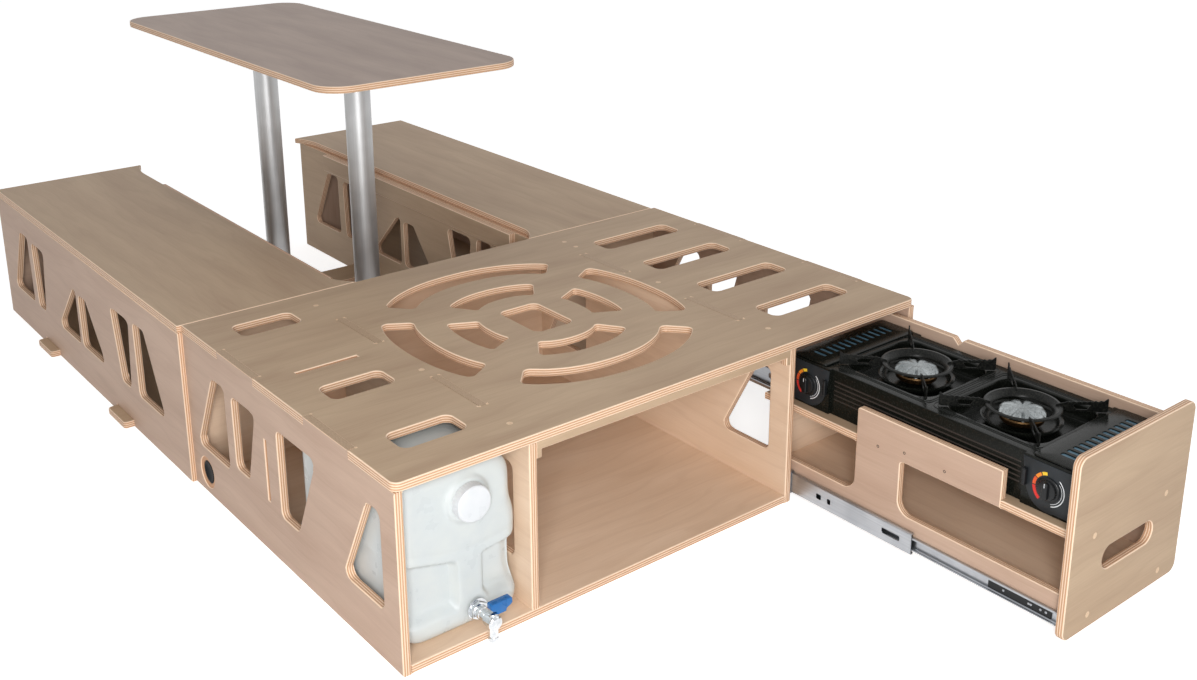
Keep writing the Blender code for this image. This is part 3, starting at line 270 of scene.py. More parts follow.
@dataclass(frozen=True)
class Metal(Finish):
    """A bare or plated metal with the fine scratches of how its surface was made.

    stretch gives the scratches' spacing in millimetres on X, Y and Z; a long one on an axis draws them out.
    """

    colour: str
    shade: str
    roughness: float
    spread: float
    stretch: Point
    relief: float = 0.05

    def build(self, tree: Tree) -> dict:
        """Builds a metal whose colour and roughness follow one stretched noise."""
        place = object_place(tree)
        scratches = noise(tree, place, tuple(1.0 / (length * MM) for length in self.stretch), 3.0)
        both = maths(tree, "MULTIPLY", scratches, noise(tree, place, 18.0, 2.0))
        low, high = self.roughness - self.spread, self.roughness + self.spread
        return {"Base Color": ramp(tree, both, (0.12, self.shade), (0.4, self.colour)), "Metallic": 1.0,
                "Roughness": ranged(tree, scratches, 0.3, 0.7, low, high),
                "Normal": bump(tree, scratches, self.relief, 0.1 * MM)}


@dataclass(frozen=True)
class Enamel(Finish):
    """Black vitreous enamel on pressed steel: a glassy coat with a slow orange-peel wave and small scuffs."""

    colour: str = "#141614"
    worn: str = "#2b2e2a"
    roughness: float = 0.16

    def build(self, tree: Tree) -> dict:
        """Builds a dark glossy coat, its wave 9 mm long and its scuffs 3 mm."""
        place = object_place(tree)
        peel = noise(tree, place, 1 / (9 * MM), 1.0)
        scuffs = noise(tree, place, 1 / (3 * MM), 5.0, 0.7)
        return {"Base Color": ramp(tree, scuffs, (0.5, self.colour), (0.8, self.worn)),
                "Roughness": ranged(tree, scuffs, 0.35, 0.75, self.roughness, self.roughness + 0.2), "IOR": 1.5,
                "Specular IOR Level": 0.15, "Normal": bump(tree, peel, 0.1, 0.6 * MM)}


@dataclass(frozen=True)
class MouldedPlastic(Finish):
    """Moulded plastic: an even colour with a slight mottle and a fine spark-eroded grain.

    grain is its size in millimetres, and soft is how far light sinks in, as it does in milky polythene.
    """

    colour: str
    shade: str
    roughness: float
    grain: float = 0.8
    relief: float = 0.08
    soft: float = 0.0
    coat: float = 0.0
    specular: float = 0.32

    def build(self, tree: Tree) -> dict:
        """Builds the mottle, 35 mm across, and the grain at its real size."""
        place = object_place(tree)
        mottle = noise(tree, place, 1 / (35 * MM), 3.0)
        grain = noise(tree, place, 1 / (self.grain * MM), 2.0)
        return {"Base Color": ramp(tree, mottle, (0.35, self.shade), (0.65, self.colour)), "IOR": 1.5,
                "Roughness": ranged(tree, mottle, 0.3, 0.7, self.roughness - 0.04, self.roughness + 0.06),
                "Specular IOR Level": self.specular, "Coat Weight": self.coat,
                "Normal": bump(tree, grain, self.relief, 0.15 * MM),
                "Subsurface Weight": self.soft, "Subsurface Scale": 6 * MM,
                "Subsurface Radius": (1.0, 0.95, 0.9)}


@dataclass(frozen=True)
class BirchDowel(Finish):
    """Birch plugs glued over the screws and sanded flush, turned so that pale side grain shows."""

    colour: str = "#ead0b0"
    shade: str = "#d8b793"

    def build(self, tree: Tree) -> dict:
        """Builds short streaks, 1 mm wide, on object coordinates."""
        streaks = noise(tree, object_place(tree), (1000.0, 160.0, 500.0), 2.0)
        return {"Base Color": ramp(tree, streaks, (0.35, self.shade), (0.65, self.colour)), "Roughness": 0.5}


PLYWOOD = BirchPlywood("birch_plywood")
# The inner panels are painted paler and warmer than the rest: painted light, a brighter copy of the plywood for the
# light that reaches into the box
PAINTED_LIGHT_PLYWOOD = BirchPlywood("pale_birch_plywood", "#eed3b9", "#dfc0a3", "#c5a082")
# The upright outer panels come from pinker sheets
PINK_PLYWOOD = BirchPlywood("pink_birch_plywood", "#cfb29d", "#bd9e89", "#a98872")
# The table's sheet is greyer
GREY_PLYWOOD = BirchPlywood("grey_birch_plywood", "#af9b8f", "#9a867b", "#8d796d")
DOWEL = BirchDowel("birch_dowel")
# End grain sanded flush with the face, which drinks the lacquer and goes darker
TAB_END = BirchDowel("tab_end_grain", "#bca083", "#ab8f73")
# Drawn aluminium tube, brushed round and clear anodised: satin, streaks along the tube
LEG_ALUMINIUM = Metal("satin_aluminium", "#c3c4c5", "#b4b5b6", 0.46, 0.03, (2.0, 2.0, 400.0), 0.02)
# Zinc-plated steel strip, rolled along Y: slightly blue and cloudy
ZINC = Metal("zinc_plated_steel", "#babdc1", "#a3a6ab", 0.34, 0.04, (3.0, 200.0, 3.0), 0.02)
# Screws blackened to hide them
BLACK_SCREW = Metal("blackened_screw_steel", "#5d5650", "#403a36", 0.42, 0.05, (2.0, 2.0, 2.0))
# Die-cast burner alloy, tumbled: dull with a fine pitted skin
BURNER_ALLOY = Metal("cast_burner_alloy", "#a3a7a8", "#6f7475", 0.34, 0.1, (2.5, 2.5, 2.5), 0.15)
# Brass that has been hot: browned
BURNER_BRASS = Metal("browned_brass_collar", "#6d5338", "#46341f", 0.4, 0.1, (2.5, 2.5, 2.5), 0.15)
# Tinplate cartridge, drawn and varnished
TINPLATE = Metal("varnished_tinplate", "#c9cbc8", "#9fa3a1", 0.24, 0.05, (40.0, 40.0, 3.0))
# Chrome on brass: near a mirror
CHROME = Metal("chrome_plate", "#e2e4e6", "#c2c6ca", 0.09, 0.03, (8.0, 8.0, 8.0), 0.02)
ENAMEL = Enamel("black_enamel", "#121411", "#262722")
# Painted sheen for the ribs on the black long side: brownish and lighter than the casing's enamel, and a little duller
SHEEN_PAINTED_ENAMEL = Enamel("brown_black_enamel", "#3b3430", "#463d37", 0.3)
TRIVET_ENAMEL = Enamel("trivet_enamel", "#0f100f", "#3a3a34", 0.24)
CONTROL_PLASTIC = MouldedPlastic("control_plastic", "#262a2e", "#1f2326", 0.42)
KNOB_PLASTIC = MouldedPlastic("knob_plastic", "#151719", "#101214", 0.3)
PLUG_PLASTIC = MouldedPlastic("plug_plastic", "#0b1116", "#080d11", 0.45, specular=0.05)
# Blow-moulded polythene, milky, so light sinks in a few millimetres
CAN_POLYTHENE = MouldedPlastic("milky_polythene", "#cdd2d1", "#c8cecf", 0.3, 6.0, 0.02, 0.12)
CAP_POLYTHENE = MouldedPlastic("white_polythene", "#dddfe2", "#d7dadd", 0.3, 1.0, 0.04, 0.12)
TAP_BLUE = MouldedPlastic("blue_plastic", "#0a69b0", "#085c9d", 0.28, coat=0.3)
DIAL_WHITE = MouldedPlastic("dial_white", "#e8eaec", "#dfe2e4", 0.45)
VENT_TEAL = MouldedPlastic("vent_insert", "#5d7f92", "#4a6a7c", 0.35)


# Meshes

def new_piece(name: str, shape: Shape, finish: Finish, body: str, node: str | None = None,
              smooth: bool = True) -> bpy.types.Object:
    """Makes a piece from whole arrays and lets it ride its body.

    Args:
        name: The piece's name.
        shape: Its points, n by 3, and arrays of vertex numbers, one array per face size.
        finish: What it is made of.
        body: The body that it moves with.
        node: The CAD node that it takes the place of.
        smooth: Whether its faces are shaded as one curved skin, parted where it turns past SHARP_TURN.

    Returns:
        The piece.
    """
    mesh = bpy.data.meshes.new(name)
    rows = [row for block in shape[1] for row in np.asarray(block).tolist()]
    mesh.from_pydata(np.asarray(shape[0], float).tolist(), [], rows)
    mesh.update()
    if smooth:
        mesh.shade_smooth()
        mesh.set_sharp_from_angle(angle=SHARP_TURN)
    mesh.materials.append(finish.material())
    piece = bpy.data.objects.new(name, mesh)
    bpy.context.scene.collection.objects.link(piece)
    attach(piece, body)
    if node:
        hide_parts(node)
    LOG.info("%s: %d faces on %s", name, len(mesh.polygons), body)
    return piece


def extent(node: str) -> tuple[Vector, Vector, Vector]:
    """The low corner, the high corner and the middle of a CAD node's box."""
    low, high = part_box(node)
    return low, high, (low + high) / 2


def grid_faces(rows: int, columns: int, around: bool = False, start: int = 0) -> np.ndarray:
    """Four-cornered faces of a grid of points stored row after row.

    Args:
        rows: How many rows of points there are.
        columns: How many points are in a row.
        around: Whether each row closes on itself.
        start: Number of the grid's first point.

    Returns:
        The faces, n by 4.
    """
    row = np.arange(rows - 1)[:, None]
    column = np.arange(columns if around else columns - 1)[None, :]
    after = (column + 1) % columns
    corners = (row * columns + column, row * columns + after, (row + 1) * columns + after,
               (row + 1) * columns + column)
    return np.stack(np.broadcast_arrays(*corners), -1).reshape(-1, 4) + start


def lay(flat: np.ndarray, along: np.ndarray, axis: Axis) -> np.ndarray:
    """Places points of a plane in space.

    Args:
        flat: Two coordinates a point. Along X they are Y and Z, along Y they are Z and X, along Z X and Y.
        along: The coordinate on the axis, one a point.
        axis: The axis square to the plane.

    Returns:
        The points, n by 3.
    """
    points = np.empty((len(flat), 3))
    points[:, axis.value] = along
    points[:, (axis.value + 1) % 3] = flat[:, 0]
    points[:, (axis.value + 2) % 3] = flat[:, 1]
    return points


def turned(profile: Rows, middle: Point, axis: Axis, sides: int = 64, waves: int = 0, power: int = 1) -> Shape:
    """A piece turned on a lathe: each profile point runs once round the axis, and may ripple as it does.

    The ripple is half of 1 plus the cosine of the turn times the waves, raised to the power. It multiplies a
    row's last two numbers, which are added to its radius and height.

    Args:
        profile: Radius and height of each point, from one end on the axis to the other. A row may have two
            more numbers, how far the ripple moves the radius and the height.
        middle: Where height 0 on the axis is.
        axis: The lathe's axis.
        sides: Points in each round.
        waves: Ripples in each round.
        power: How narrow each ripple is.

    Returns:
        Points and faces. A point of radius 0 is one vertex, so both ends are closed.
    """
    rows = np.array([(*row, 0.0, 0.0)[:4] for row in profile])
    inner = rows[1:-1, :, None]
    angle = np.linspace(0, 2 * math.pi, sides, endpoint=False)
    ripple = ((1 + np.cos(waves * angle)) / 2) ** power if waves else np.zeros(sides)
    radius, height = inner[:, 0] + inner[:, 2] * ripple, inner[:, 1] + inner[:, 3] * ripple
    flat = radius[..., None] * np.stack([np.cos(angle), np.sin(angle)], -1)[None]
    points = lay(flat.reshape(-1, 2), height.reshape(-1), axis)
    ends = lay(np.zeros((2, 2)), rows[[0, -1], 1], axis)
    rim = np.arange(sides)
    after = (rim + 1) % sides
    last = (len(inner) - 1) * sides
    first_cap = np.stack([np.full(sides, len(points)), after, rim], -1)
    last_cap = np.stack([np.full(sides, len(points) + 1), last + rim, last + after], -1)
    points = np.concatenate([points, ends]) + np.array(middle)
    return points, [grid_faces(len(inner), sides, True), first_cap, last_cap]


def rounded_profile(corners: Rows, radius: float, steps: int = 4) -> Rows:
    """Rounds the inner corners of a turned profile by quarter arcs, as small as each side allows.

    Each corner is replaced by points of a curve that leaves one side and meets the next at the same
    distance, weighted between its two ends and the corner as a quadratic curve is.
    """
    shape = np.array(corners, float)
    rounded = [tuple(shape[0])]
    for before, corner, after in zip(shape, shape[1:], shape[2:]):
        to_before, to_after = before - corner, after - corner
        reach = min(radius, np.linalg.norm(to_before) * 0.48, np.linalg.norm(to_after) * 0.48)
        start = corner + to_before / max(np.linalg.norm(to_before), 1e-9) * reach
        end = corner + to_after / max(np.linalg.norm(to_after), 1e-9) * reach
        share = np.linspace(0, 1, steps + 1)[:, None]
        arc = (1 - share) ** 2 * start + 2 * share * (1 - share) * corner + share ** 2 * end
        rounded += [tuple(point) for point in arc]
    return rounded + [tuple(shape[-1])]


def turned_round(corners: Rows, radius: float, steps: int, middle: Point, axis: Axis, sides: int) -> Shape:
    """A piece turned from a profile with rounded corners."""
    return turned(rounded_profile(corners, radius, steps), middle, axis, sides)


def loop_area(loop: np.ndarray) -> float:
    """Area inside a closed line, positive where it runs anticlockwise."""
    after = np.roll(loop, -1, 0)
    return float(np.sum(loop[:, 0] * after[:, 1] - loop[:, 1] * after[:, 0]) / 2)


def loop_turns(loop: np.ndarray) -> np.ndarray:
    """How far a closed line turns at each of its points, in radians, positive to the left."""
    ahead = np.roll(loop, -1, 0) - loop
    heading = np.arctan2(ahead[:, 1], ahead[:, 0])
    return (heading - np.roll(heading, 1) + math.pi) % (2 * math.pi) - math.pi


def mitres(loop: np.ndarray) -> np.ndarray:
    """How far each point moves for its two sides to move 1 to their left: the sum of the sides' normals
    over 1 plus the normals' product, held at 2.5 in a sharp corner."""
    ahead = np.roll(loop, -1, 0) - loop
    normal = np.stack([-ahead[:, 1], ahead[:, 0]], -1) / np.linalg.norm(ahead, axis=1, keepdims=True)
    before = np.roll(normal, 1, 0)
    share = 1 + np.sum(normal * before, 1, keepdims=True)
    move = (normal + before) / np.maximum(share, 1e-3)
    return move * np.minimum(1, 2.5 / np.maximum(np.linalg.norm(move, axis=1, keepdims=True), 1e-9))


def finer_arcs(loop: np.ndarray, sizes: np.ndarray, rounds: int = 2) -> tuple[np.ndarray, np.ndarray]:
    """Splits each chord of an arc at the arc's own middle: half the chord times the tangent of a quarter turn
    to the side that the arc swells to.

    Args:
        loop: A closed line, n by 2.
        sizes: A number for each side of the line, which both halves of a split side keep.
        rounds: How many times each chord is halved.

    Returns:
        The finer line and its sizes.
    """
    for _ in range(rounds):
        ahead = np.roll(loop, -1, 0) - loop
        length = np.linalg.norm(ahead, axis=1)
        here = loop_turns(loop)
        there = np.roll(here, -1)
        turn = np.where(abs(here) > abs(there), here, there)
        longest = np.maximum(np.roll(length, 1), np.roll(length, -1))
        is_arc = (here * there > 0) & (abs(turn) < ARC_TURN) & (abs(turn) > ARC_STRAIGHT)
        is_arc &= (length < 1.7 * longest) & (length > 0.5 * MM)
        outward = np.stack([ahead[:, 1], -ahead[:, 0]], -1)
        middle = loop + ahead / 2 + outward * np.tan(turn / 4)[:, None] / 2
        both = np.stack([loop, middle], 1).reshape(-1, 2)
        keep = np.stack([np.ones(len(loop), bool), is_arc], 1).reshape(-1)
        loop, sizes = both[keep], np.repeat(sizes, 2)[keep]
    return loop, sizes


def fill(loops: list[np.ndarray], spacing: float | None = None) -> tuple[np.ndarray, np.ndarray]:
    """Fills the plane between closed lines with triangles.

    Args:
        loops: The outline first, then its holes.
        spacing: Distance between extra points inside, for a surface that is shaped afterwards.

    Returns:
        The points, which are the loops' own in their order and then the extra ones, and the triangles.
    """
    points = np.concatenate(loops)
    starts = np.cumsum([0] + [len(loop) for loop in loops])
    edges = [(int(s + k), int(s + (k + 1) % len(loop))) for s, loop in zip(starts, loops) for k in range(len(loop))]
    if spacing:
        low, high = points.min(0), points.max(0)
        grid = np.stack(np.meshgrid(np.arange(low[0], high[0], spacing), np.arange(low[1], high[1], spacing)), -1)
        grid = grid.reshape(-1, 2)
        away = np.min(np.linalg.norm(grid[:, None] - points[None], axis=2), axis=1)
        grid = grid[inside(grid, loops) & (away > spacing * 0.6)]
        points = np.concatenate([points, grid])
    filled = delaunay_2d_cdt([Vector(point) for point in points.tolist()], edges, [], 2, 1e-9)
    number = np.array([origins[0] for origins in filled[3]])
    triangles = number[np.array(filled[2])]
    return points, triangles[inside(points[triangles].mean(1), loops)]


def inside(points: np.ndarray, loops: list[np.ndarray]) -> np.ndarray:
    """Whether each point lies inside: a line from it crosses the loops an odd number of times."""
    crossings = np.zeros(len(points), int)
    for loop in loops:
        start, end = loop, np.roll(loop, -1, 0)
        height = points[:, 1, None]
        spans = (start[:, 1] > height) != (end[:, 1] > height)
        with np.errstate(divide="ignore", invalid="ignore"):
            where = start[:, 0] + (height - start[:, 1]) / (end[:, 1] - start[:, 1]) * (end[:, 0] - start[:, 0])
        crossings += np.sum(spans & (points[:, 0, None] < where), axis=1)
    return crossings % 2 == 1


def cad_loops(node: str, axis: Axis, place: float) -> list[np.ndarray]:
    """The closed lines round a flat face of a CAD node, the outline first and then its holes.

    The node's triangles are merged, those in the plane are kept, and the sides that only one of them has are
    followed round.

    Args:
        node: The CAD node.
        axis: The axis square to the face.
        place: Where the face is on that axis.

    Returns:
        The lines in the plane's two coordinates, each with the material on its left.
    """
    mesh = frame["nodes"][node].data
    mesh.calc_loop_triangles()
    corners = np.empty(len(mesh.vertices) * 3, np.float32)
    mesh.vertices.foreach_get("co", corners)
    triangles = np.empty(len(mesh.loop_triangles) * 3, np.int32)
    mesh.loop_triangles.foreach_get("vertices", triangles)
    points, merged = np.unique(corners.reshape(-1, 3).astype(float).round(6), axis=0, return_inverse=True)
    triangles = merged.reshape(-1)[triangles].reshape(-1, 3)
    on_face = (abs(points[triangles][:, :, axis.value] - place) < 0.02 * MM).all(1)
    sides = triangles[on_face][:, [0, 1, 1, 2, 2, 0]].reshape(-1, 2)
    twins = {tuple(side) for side in sides[:, ::-1].tolist()}
    after = {start: end for start, end in sides.tolist() if (start, end) not in twins}
    flat = points[:, [(axis.value + 1) % 3, (axis.value + 2) % 3]]
    loops = []
    while after:
        start, number = next(iter(after)), []
        while start in after:
            number.append(start)
            start = after.pop(start)
        loops.append(flat[number])
    loops.sort(key=lambda loop: -abs(loop_area(loop)))
    if loop_area(loops[0]) < 0:
        loops = [loop[::-1] for loop in loops]
    return [without_straight_points(loop) for loop in loops]


def without_straight_points(loop: np.ndarray) -> np.ndarray:
    """The loop without the points at which it doesn't turn."""
    return loop[abs(loop_turns(loop)) > 0.002]


def skin(stacks: list[tuple[np.ndarray, np.ndarray]], axis: Axis, spacing: float | None = None,
         blind: bool = False) -> tuple[Shape, int]:
    """A closed solid between two flat faces.

    Args:
        stacks: For the outline and each hole, its rings from the low face to the high one, rings by points
            by 2, and each point's place on the axis, rings by points.
        axis: The axis square to the faces.
        spacing: Distance between extra points in the high face, for a surface shaped afterwards.
        blind: Whether the holes end in floors of their own, under which the low face is whole.

    Returns:
        Points and faces, the flat faces' triangles last, and how many of those there are.
    """
    points, faces, lows, highs, start = [], [], [], [], 0
    for rings, heights in stacks:
        count, around = rings.shape[:2]
        points.append(lay(rings.reshape(-1, 2), heights.reshape(-1), axis))
        faces.append(grid_faces(count, around, True, start))
        lows.append(np.arange(around) + start)
        highs.append(lows[-1] + (count - 1) * around)
        start += count * around
    rims = [rings[0] for rings, _ in stacks]
    under = 1 if blind else len(stacks)
    caps = [np.concatenate(lows[:under])[fill(rims[:under])[1][:, ::-1]]]
    caps += [low[fill([rim])[1]] for low, rim in zip(lows[under:], rims[under:])]
    high_points, high = fill([rings[-1] for rings, _ in stacks], spacing)
    extra = high_points[sum(len(rim) for rim in highs):]
    caps.append(np.concatenate([*highs, np.arange(len(extra)) + start])[high])
    points.append(lay(extra, np.full(len(extra), stacks[0][1][-1, 0]), axis))
    return (np.concatenate(points), faces + caps), sum(len(cap) for cap in caps)


def sweep(loops: list[np.ndarray], profiles: list[Rows | np.ndarray], axis: Axis, base: float,
          spacing: float | None = None, blind: bool = False, shrink: bool = False) -> Shape:
    """A closed solid between two flat faces, whose rims follow a profile round each loop.

    A point of a rim is the loop's point plus its mitre times the profile's inset, at the profile's height.

    Args:
        loops: The outline and its holes, with the material on their left.
        profiles: For each loop, rows of inset and height, from the low face to the high one.
        axis: The axis square to the faces.
        base: Where height 0 is on that axis.
        spacing: Distance between extra points in the high face, for a surface shaped afterwards.
        blind: Whether the holes end in floors of their own, under which the low face is whole.
        shrink: Whether an inset shrinks the loop towards its middle, which suits an inset wider than its arcs.

    Returns:
        Points and faces.
    """
    stacks = []
    for loop, profile in zip(loops, profiles):
        profile = np.asarray(profile, float)
        middle, half = (loop.min(0) + loop.max(0)) / 2, np.ptp(loop, axis=0) / 2
        move = (middle - loop) / half if shrink else mitres(loop)
        rings = loop[None] + profile[:, 0, None, None] * move[None]
        stacks.append((rings, np.repeat(base + profile[:, 1:], len(loop), 1)))
    return skin(stacks, axis, spacing, blind)[0]


def smoothed(loop: np.ndarray) -> np.ndarray:
    """The loop with finer arcs."""
    return finer_arcs(loop, np.zeros(len(loop)))[0]


def turn_left(loop: Rows | np.ndarray) -> np.ndarray:
    """The loop run anticlockwise, whichever way it was given."""
    loop = np.asarray(loop, float)
    return loop if loop_area(loop) > 0 else loop[::-1]


def mirrored(shape: Shape, axis: Axis, place: float) -> Shape:
    """The shape turned to face down the axis: a coordinate on it becomes place less itself, and the faces
    run the other way so that they still point outwards."""
    points = shape[0].copy()
    points[:, axis.value] = place - points[:, axis.value]
    return points, [np.asarray(block)[:, ::-1] for block in shape[1]]


def facing(loop: np.ndarray, rim: Rows, face: float) -> Shape:
    """One loop's solid that faces down the X axis: the rim's height 0 is at the face, and it rises to -X."""
    return mirrored(sweep([loop], [rim], Axis.X, 0.0), Axis.X, face)


def moved(shape: Shape, by: Point) -> Shape:
    """The shape moved."""
    return shape[0] + np.array(by), shape[1]


def turned_ring(section: np.ndarray, middle: Point, sides: int) -> Shape:
    """A closed section of radii and heights carried once round the Z axis: a ring with no ends."""
    angle = np.linspace(0, 2 * math.pi, sides, endpoint=False)
    section = turn_left(np.asarray(section))
    flat = section[:, 0, None, None] * np.stack([np.cos(angle), np.sin(angle)], -1)[None]
    points = lay(flat.reshape(-1, 2), np.repeat(section[:, 1], sides), Axis.Z) + np.array(middle)
    return points, [grid_faces(len(section) + 1, sides, True) % len(points)]


def joined(parts: list[Shape]) -> Shape:
    """Several shapes as the points and faces of one piece."""
    points, faces, start = [], [], 0
    for some_points, some_faces in parts:
        points.append(some_points)
        faces += [np.asarray(block) + start for block in some_faces]
        start += len(some_points)
    return np.concatenate(points), faces


# Plywood

class Unit(Enum):
    """A group of panels glued or bolted together; their meeting edges stay crisp. Each value is the
    beginnings of its nodes' names."""

    FRONT_BOX = ("box_", "divider_", "front_rail")
    LEFT_BENCH = ("bench_left_outer", "bench_left_inner", "bench_left_end", "bench_left_floor", "bed_rail_left")
    RIGHT_BENCH = ("bench_right_outer", "bench_right_inner", "bench_right_end", "bench_right_floor",
                   "bed_rail_right")
    LEFT_LID = ("bench_left_lid",)
    RIGHT_LID = ("bench_right_lid",)
    SLATS = ("floor_slat_",)
    TABLE = ("table_top",)
    DRAWER = ("drawer_",)

    def nodes(self) -> list[str]:
        """The CAD nodes of this unit."""
        return sorted(name for name in frame["nodes"] if name.startswith(self.value))


@dataclass
class Panel:
    """A plywood panel: a CAD node's outline and cut-outs with smooth arcs and routed rims."""

    node: str
    neighbours: list[BVHTree]
    place: int
    round_over: float = 2.8 * MM
    crisp: float = 0.35 * MM
    touch: float = 1.2 * MM
    lead: float = 4 * MM
    shortest: float = 14 * MM
    segments: int = 4
    recess: Point | None = None
    finish: BirchPlywood = PLYWOOD
    low: Vector = field(init=False)
    high: Vector = field(init=False)
    axis: Axis = field(init=False)

    def __post_init__(self) -> None:
        """Finds the panel's box and the axis that its thickness runs in."""
        self.low, self.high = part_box(self.node)
        size = self.high - self.low
        self.axis = Axis(min(range(3), key=lambda k: size[k]))

    def meets_neighbour(self, point: np.ndarray) -> bool:
        """Whether the point touches another panel of the unit, or is inside one."""
        for tree in self.neighbours:
            found = tree.find_nearest(Vector(point))
            if found[0] is None:
                continue
            if found[3] < self.touch or (Vector(point) - found[0]).dot(found[1]) < 0:
                return True
        return False

    def rim_sizes(self, loop: np.ndarray, face: float, inward: float) -> np.ndarray:
        """The rim's radius at each side of a loop: crisp where another panel of the unit touches it.

        Args:
            loop: The loop in the plane of the face.
            face: Where the face is on the thickness axis.
            inward: 1 or -1, the way into the panel along that axis.

        Returns:
            A radius for each side.
        """
        ahead = np.roll(loop, -1, 0) - loop
        middle = loop + ahead / 2
        outward = np.stack([ahead[:, 1], -ahead[:, 0]], -1) / np.linalg.norm(ahead, axis=1, keepdims=True)
        beside = lay(middle + outward * MM, np.full(len(loop), face + inward * 3 * MM), self.axis)
        above = lay(middle, np.full(len(loop), face - inward * MM), self.axis)
        touched = [self.meets_neighbour(a) or self.meets_neighbour(b) for a, b in zip(beside, above)]
        return np.where(touched, self.crisp, self.round_over)

    def refine(self, loop: np.ndarray, low: np.ndarray, high: np.ndarray) -> tuple[np.ndarray, np.ndarray]:
        """Adds a point a short lead from each corner where the rim's radius changes, then smooths the arcs.

        Returns:
            The finer loop, and for each of its points the low and the high rim's radius.
        """
        sizes = np.stack([low, high], -1)
        ahead = np.roll(loop, -1, 0) - loop
        length = np.linalg.norm(ahead, axis=1)
        changes = (abs(sizes - np.roll(sizes, 1, 0)) > 0.1 * MM).any(1)
        room = length > self.shortest
        step = ahead / length[:, None] * self.lead
        near_end = np.roll(changes, -1) & room
        slots = np.stack([loop, loop + step, np.roll(loop, -1, 0) - step], 1).reshape(-1, 2)
        keep = np.stack([np.ones(len(loop), bool), changes & room, near_end], 1).reshape(-1)
        owner = np.repeat(np.arange(len(loop)), 3)[keep]
        loop = slots[keep]
        loop, owner = finer_arcs(loop, owner)
        sides = sizes[owner]
        return loop, np.minimum(sides, np.roll(sides, 1, 0))

    def profile_part(self, size: np.ndarray) -> tuple[np.ndarray, np.ndarray]:
        """Insets and depths of a quarter-round rim, steps by points: radius times 1 less the sine, and radius
        times 1 less the cosine."""
        angle = np.linspace(0, math.pi / 2, self.segments + 1)[:, None]
        return size[None] * (1 - np.sin(angle)), size[None] * (1 - np.cos(angle))

    def rims(self, loop: np.ndarray, sizes: np.ndarray, recessed: bool) -> tuple[np.ndarray, np.ndarray]:
        """The rings of points from the low face to the high one.

        Returns:
            The rings in the plane, rings by points by 2, and their depths below the low face.
        """
        thick = self.high[self.axis.value] - self.low[self.axis.value]
        low_inset, low_depth = self.profile_part(sizes[:, 0])
        high_inset, high_depth = self.profile_part(sizes[:, 1])
        insets = [*low_inset, *high_inset[::-1]]
        depths = [*low_depth, *(thick - high_depth[::-1])]
        if recessed:
            _, wide, deep = self.recess
            ones = np.ones(len(loop))
            insets = [*(low_inset + wide), wide * ones, 0 * ones, *high_inset[::-1]]
            depths = [*low_depth, deep * ones, deep * ones, *(thick - high_depth[::-1])]
        return loop[None] + np.array(insets)[:, :, None] * mitres(loop)[None], np.array(depths)

    def build(self) -> None:
        """Builds the panel and puts it in the CAD node's place."""
        k = self.axis.value
        base, far = self.low[k], self.high[k]
        stacks = []
        for loop in cad_loops(self.node, self.axis, far):
            sizes = self.refine(loop, self.rim_sizes(loop, base, 1), self.rim_sizes(loop, far, -1))
            recessed = bool(self.recess) and loop_area(loop) < 0
            recessed = recessed and abs(np.ptp(loop[:, 0]) / 2 - self.recess[0]) < MM
            rings, depths = self.rims(*sizes, recessed)
            stacks.append((rings, base + depths))
        shape, caps = skin(stacks, self.axis)
        body = frame["nodes"][self.node]["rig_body"]
        piece = new_piece(f"{self.node}_plywood", shape, self.finish, body, self.node)
        self.dress(piece, shape[0], caps)

    def dress(self, piece: bpy.types.Object, points: np.ndarray, caps: int) -> None:
        """Writes the panel_point attribute and shades the two faces flat."""
        k = self.axis.value
        flat = [(k + 1) % 3, (k + 2) % 3]
        long, short = sorted(flat, key=lambda axis: self.low[axis] - self.high[axis])
        shift = 0.37 * self.place
        own = np.stack([points[:, long] + shift * 3, points[:, short] + shift, points[:, k] - self.low[k]], -1)
        layer = piece.data.attributes.new("panel_point", "FLOAT_VECTOR", "POINT")
        layer.data.foreach_set("vector", own.astype(np.float32).ravel())
        smooth = np.ones(len(piece.data.polygons), bool)
        smooth[-caps:] = False
        piece.data.polygons.foreach_set("use_smooth", smooth)


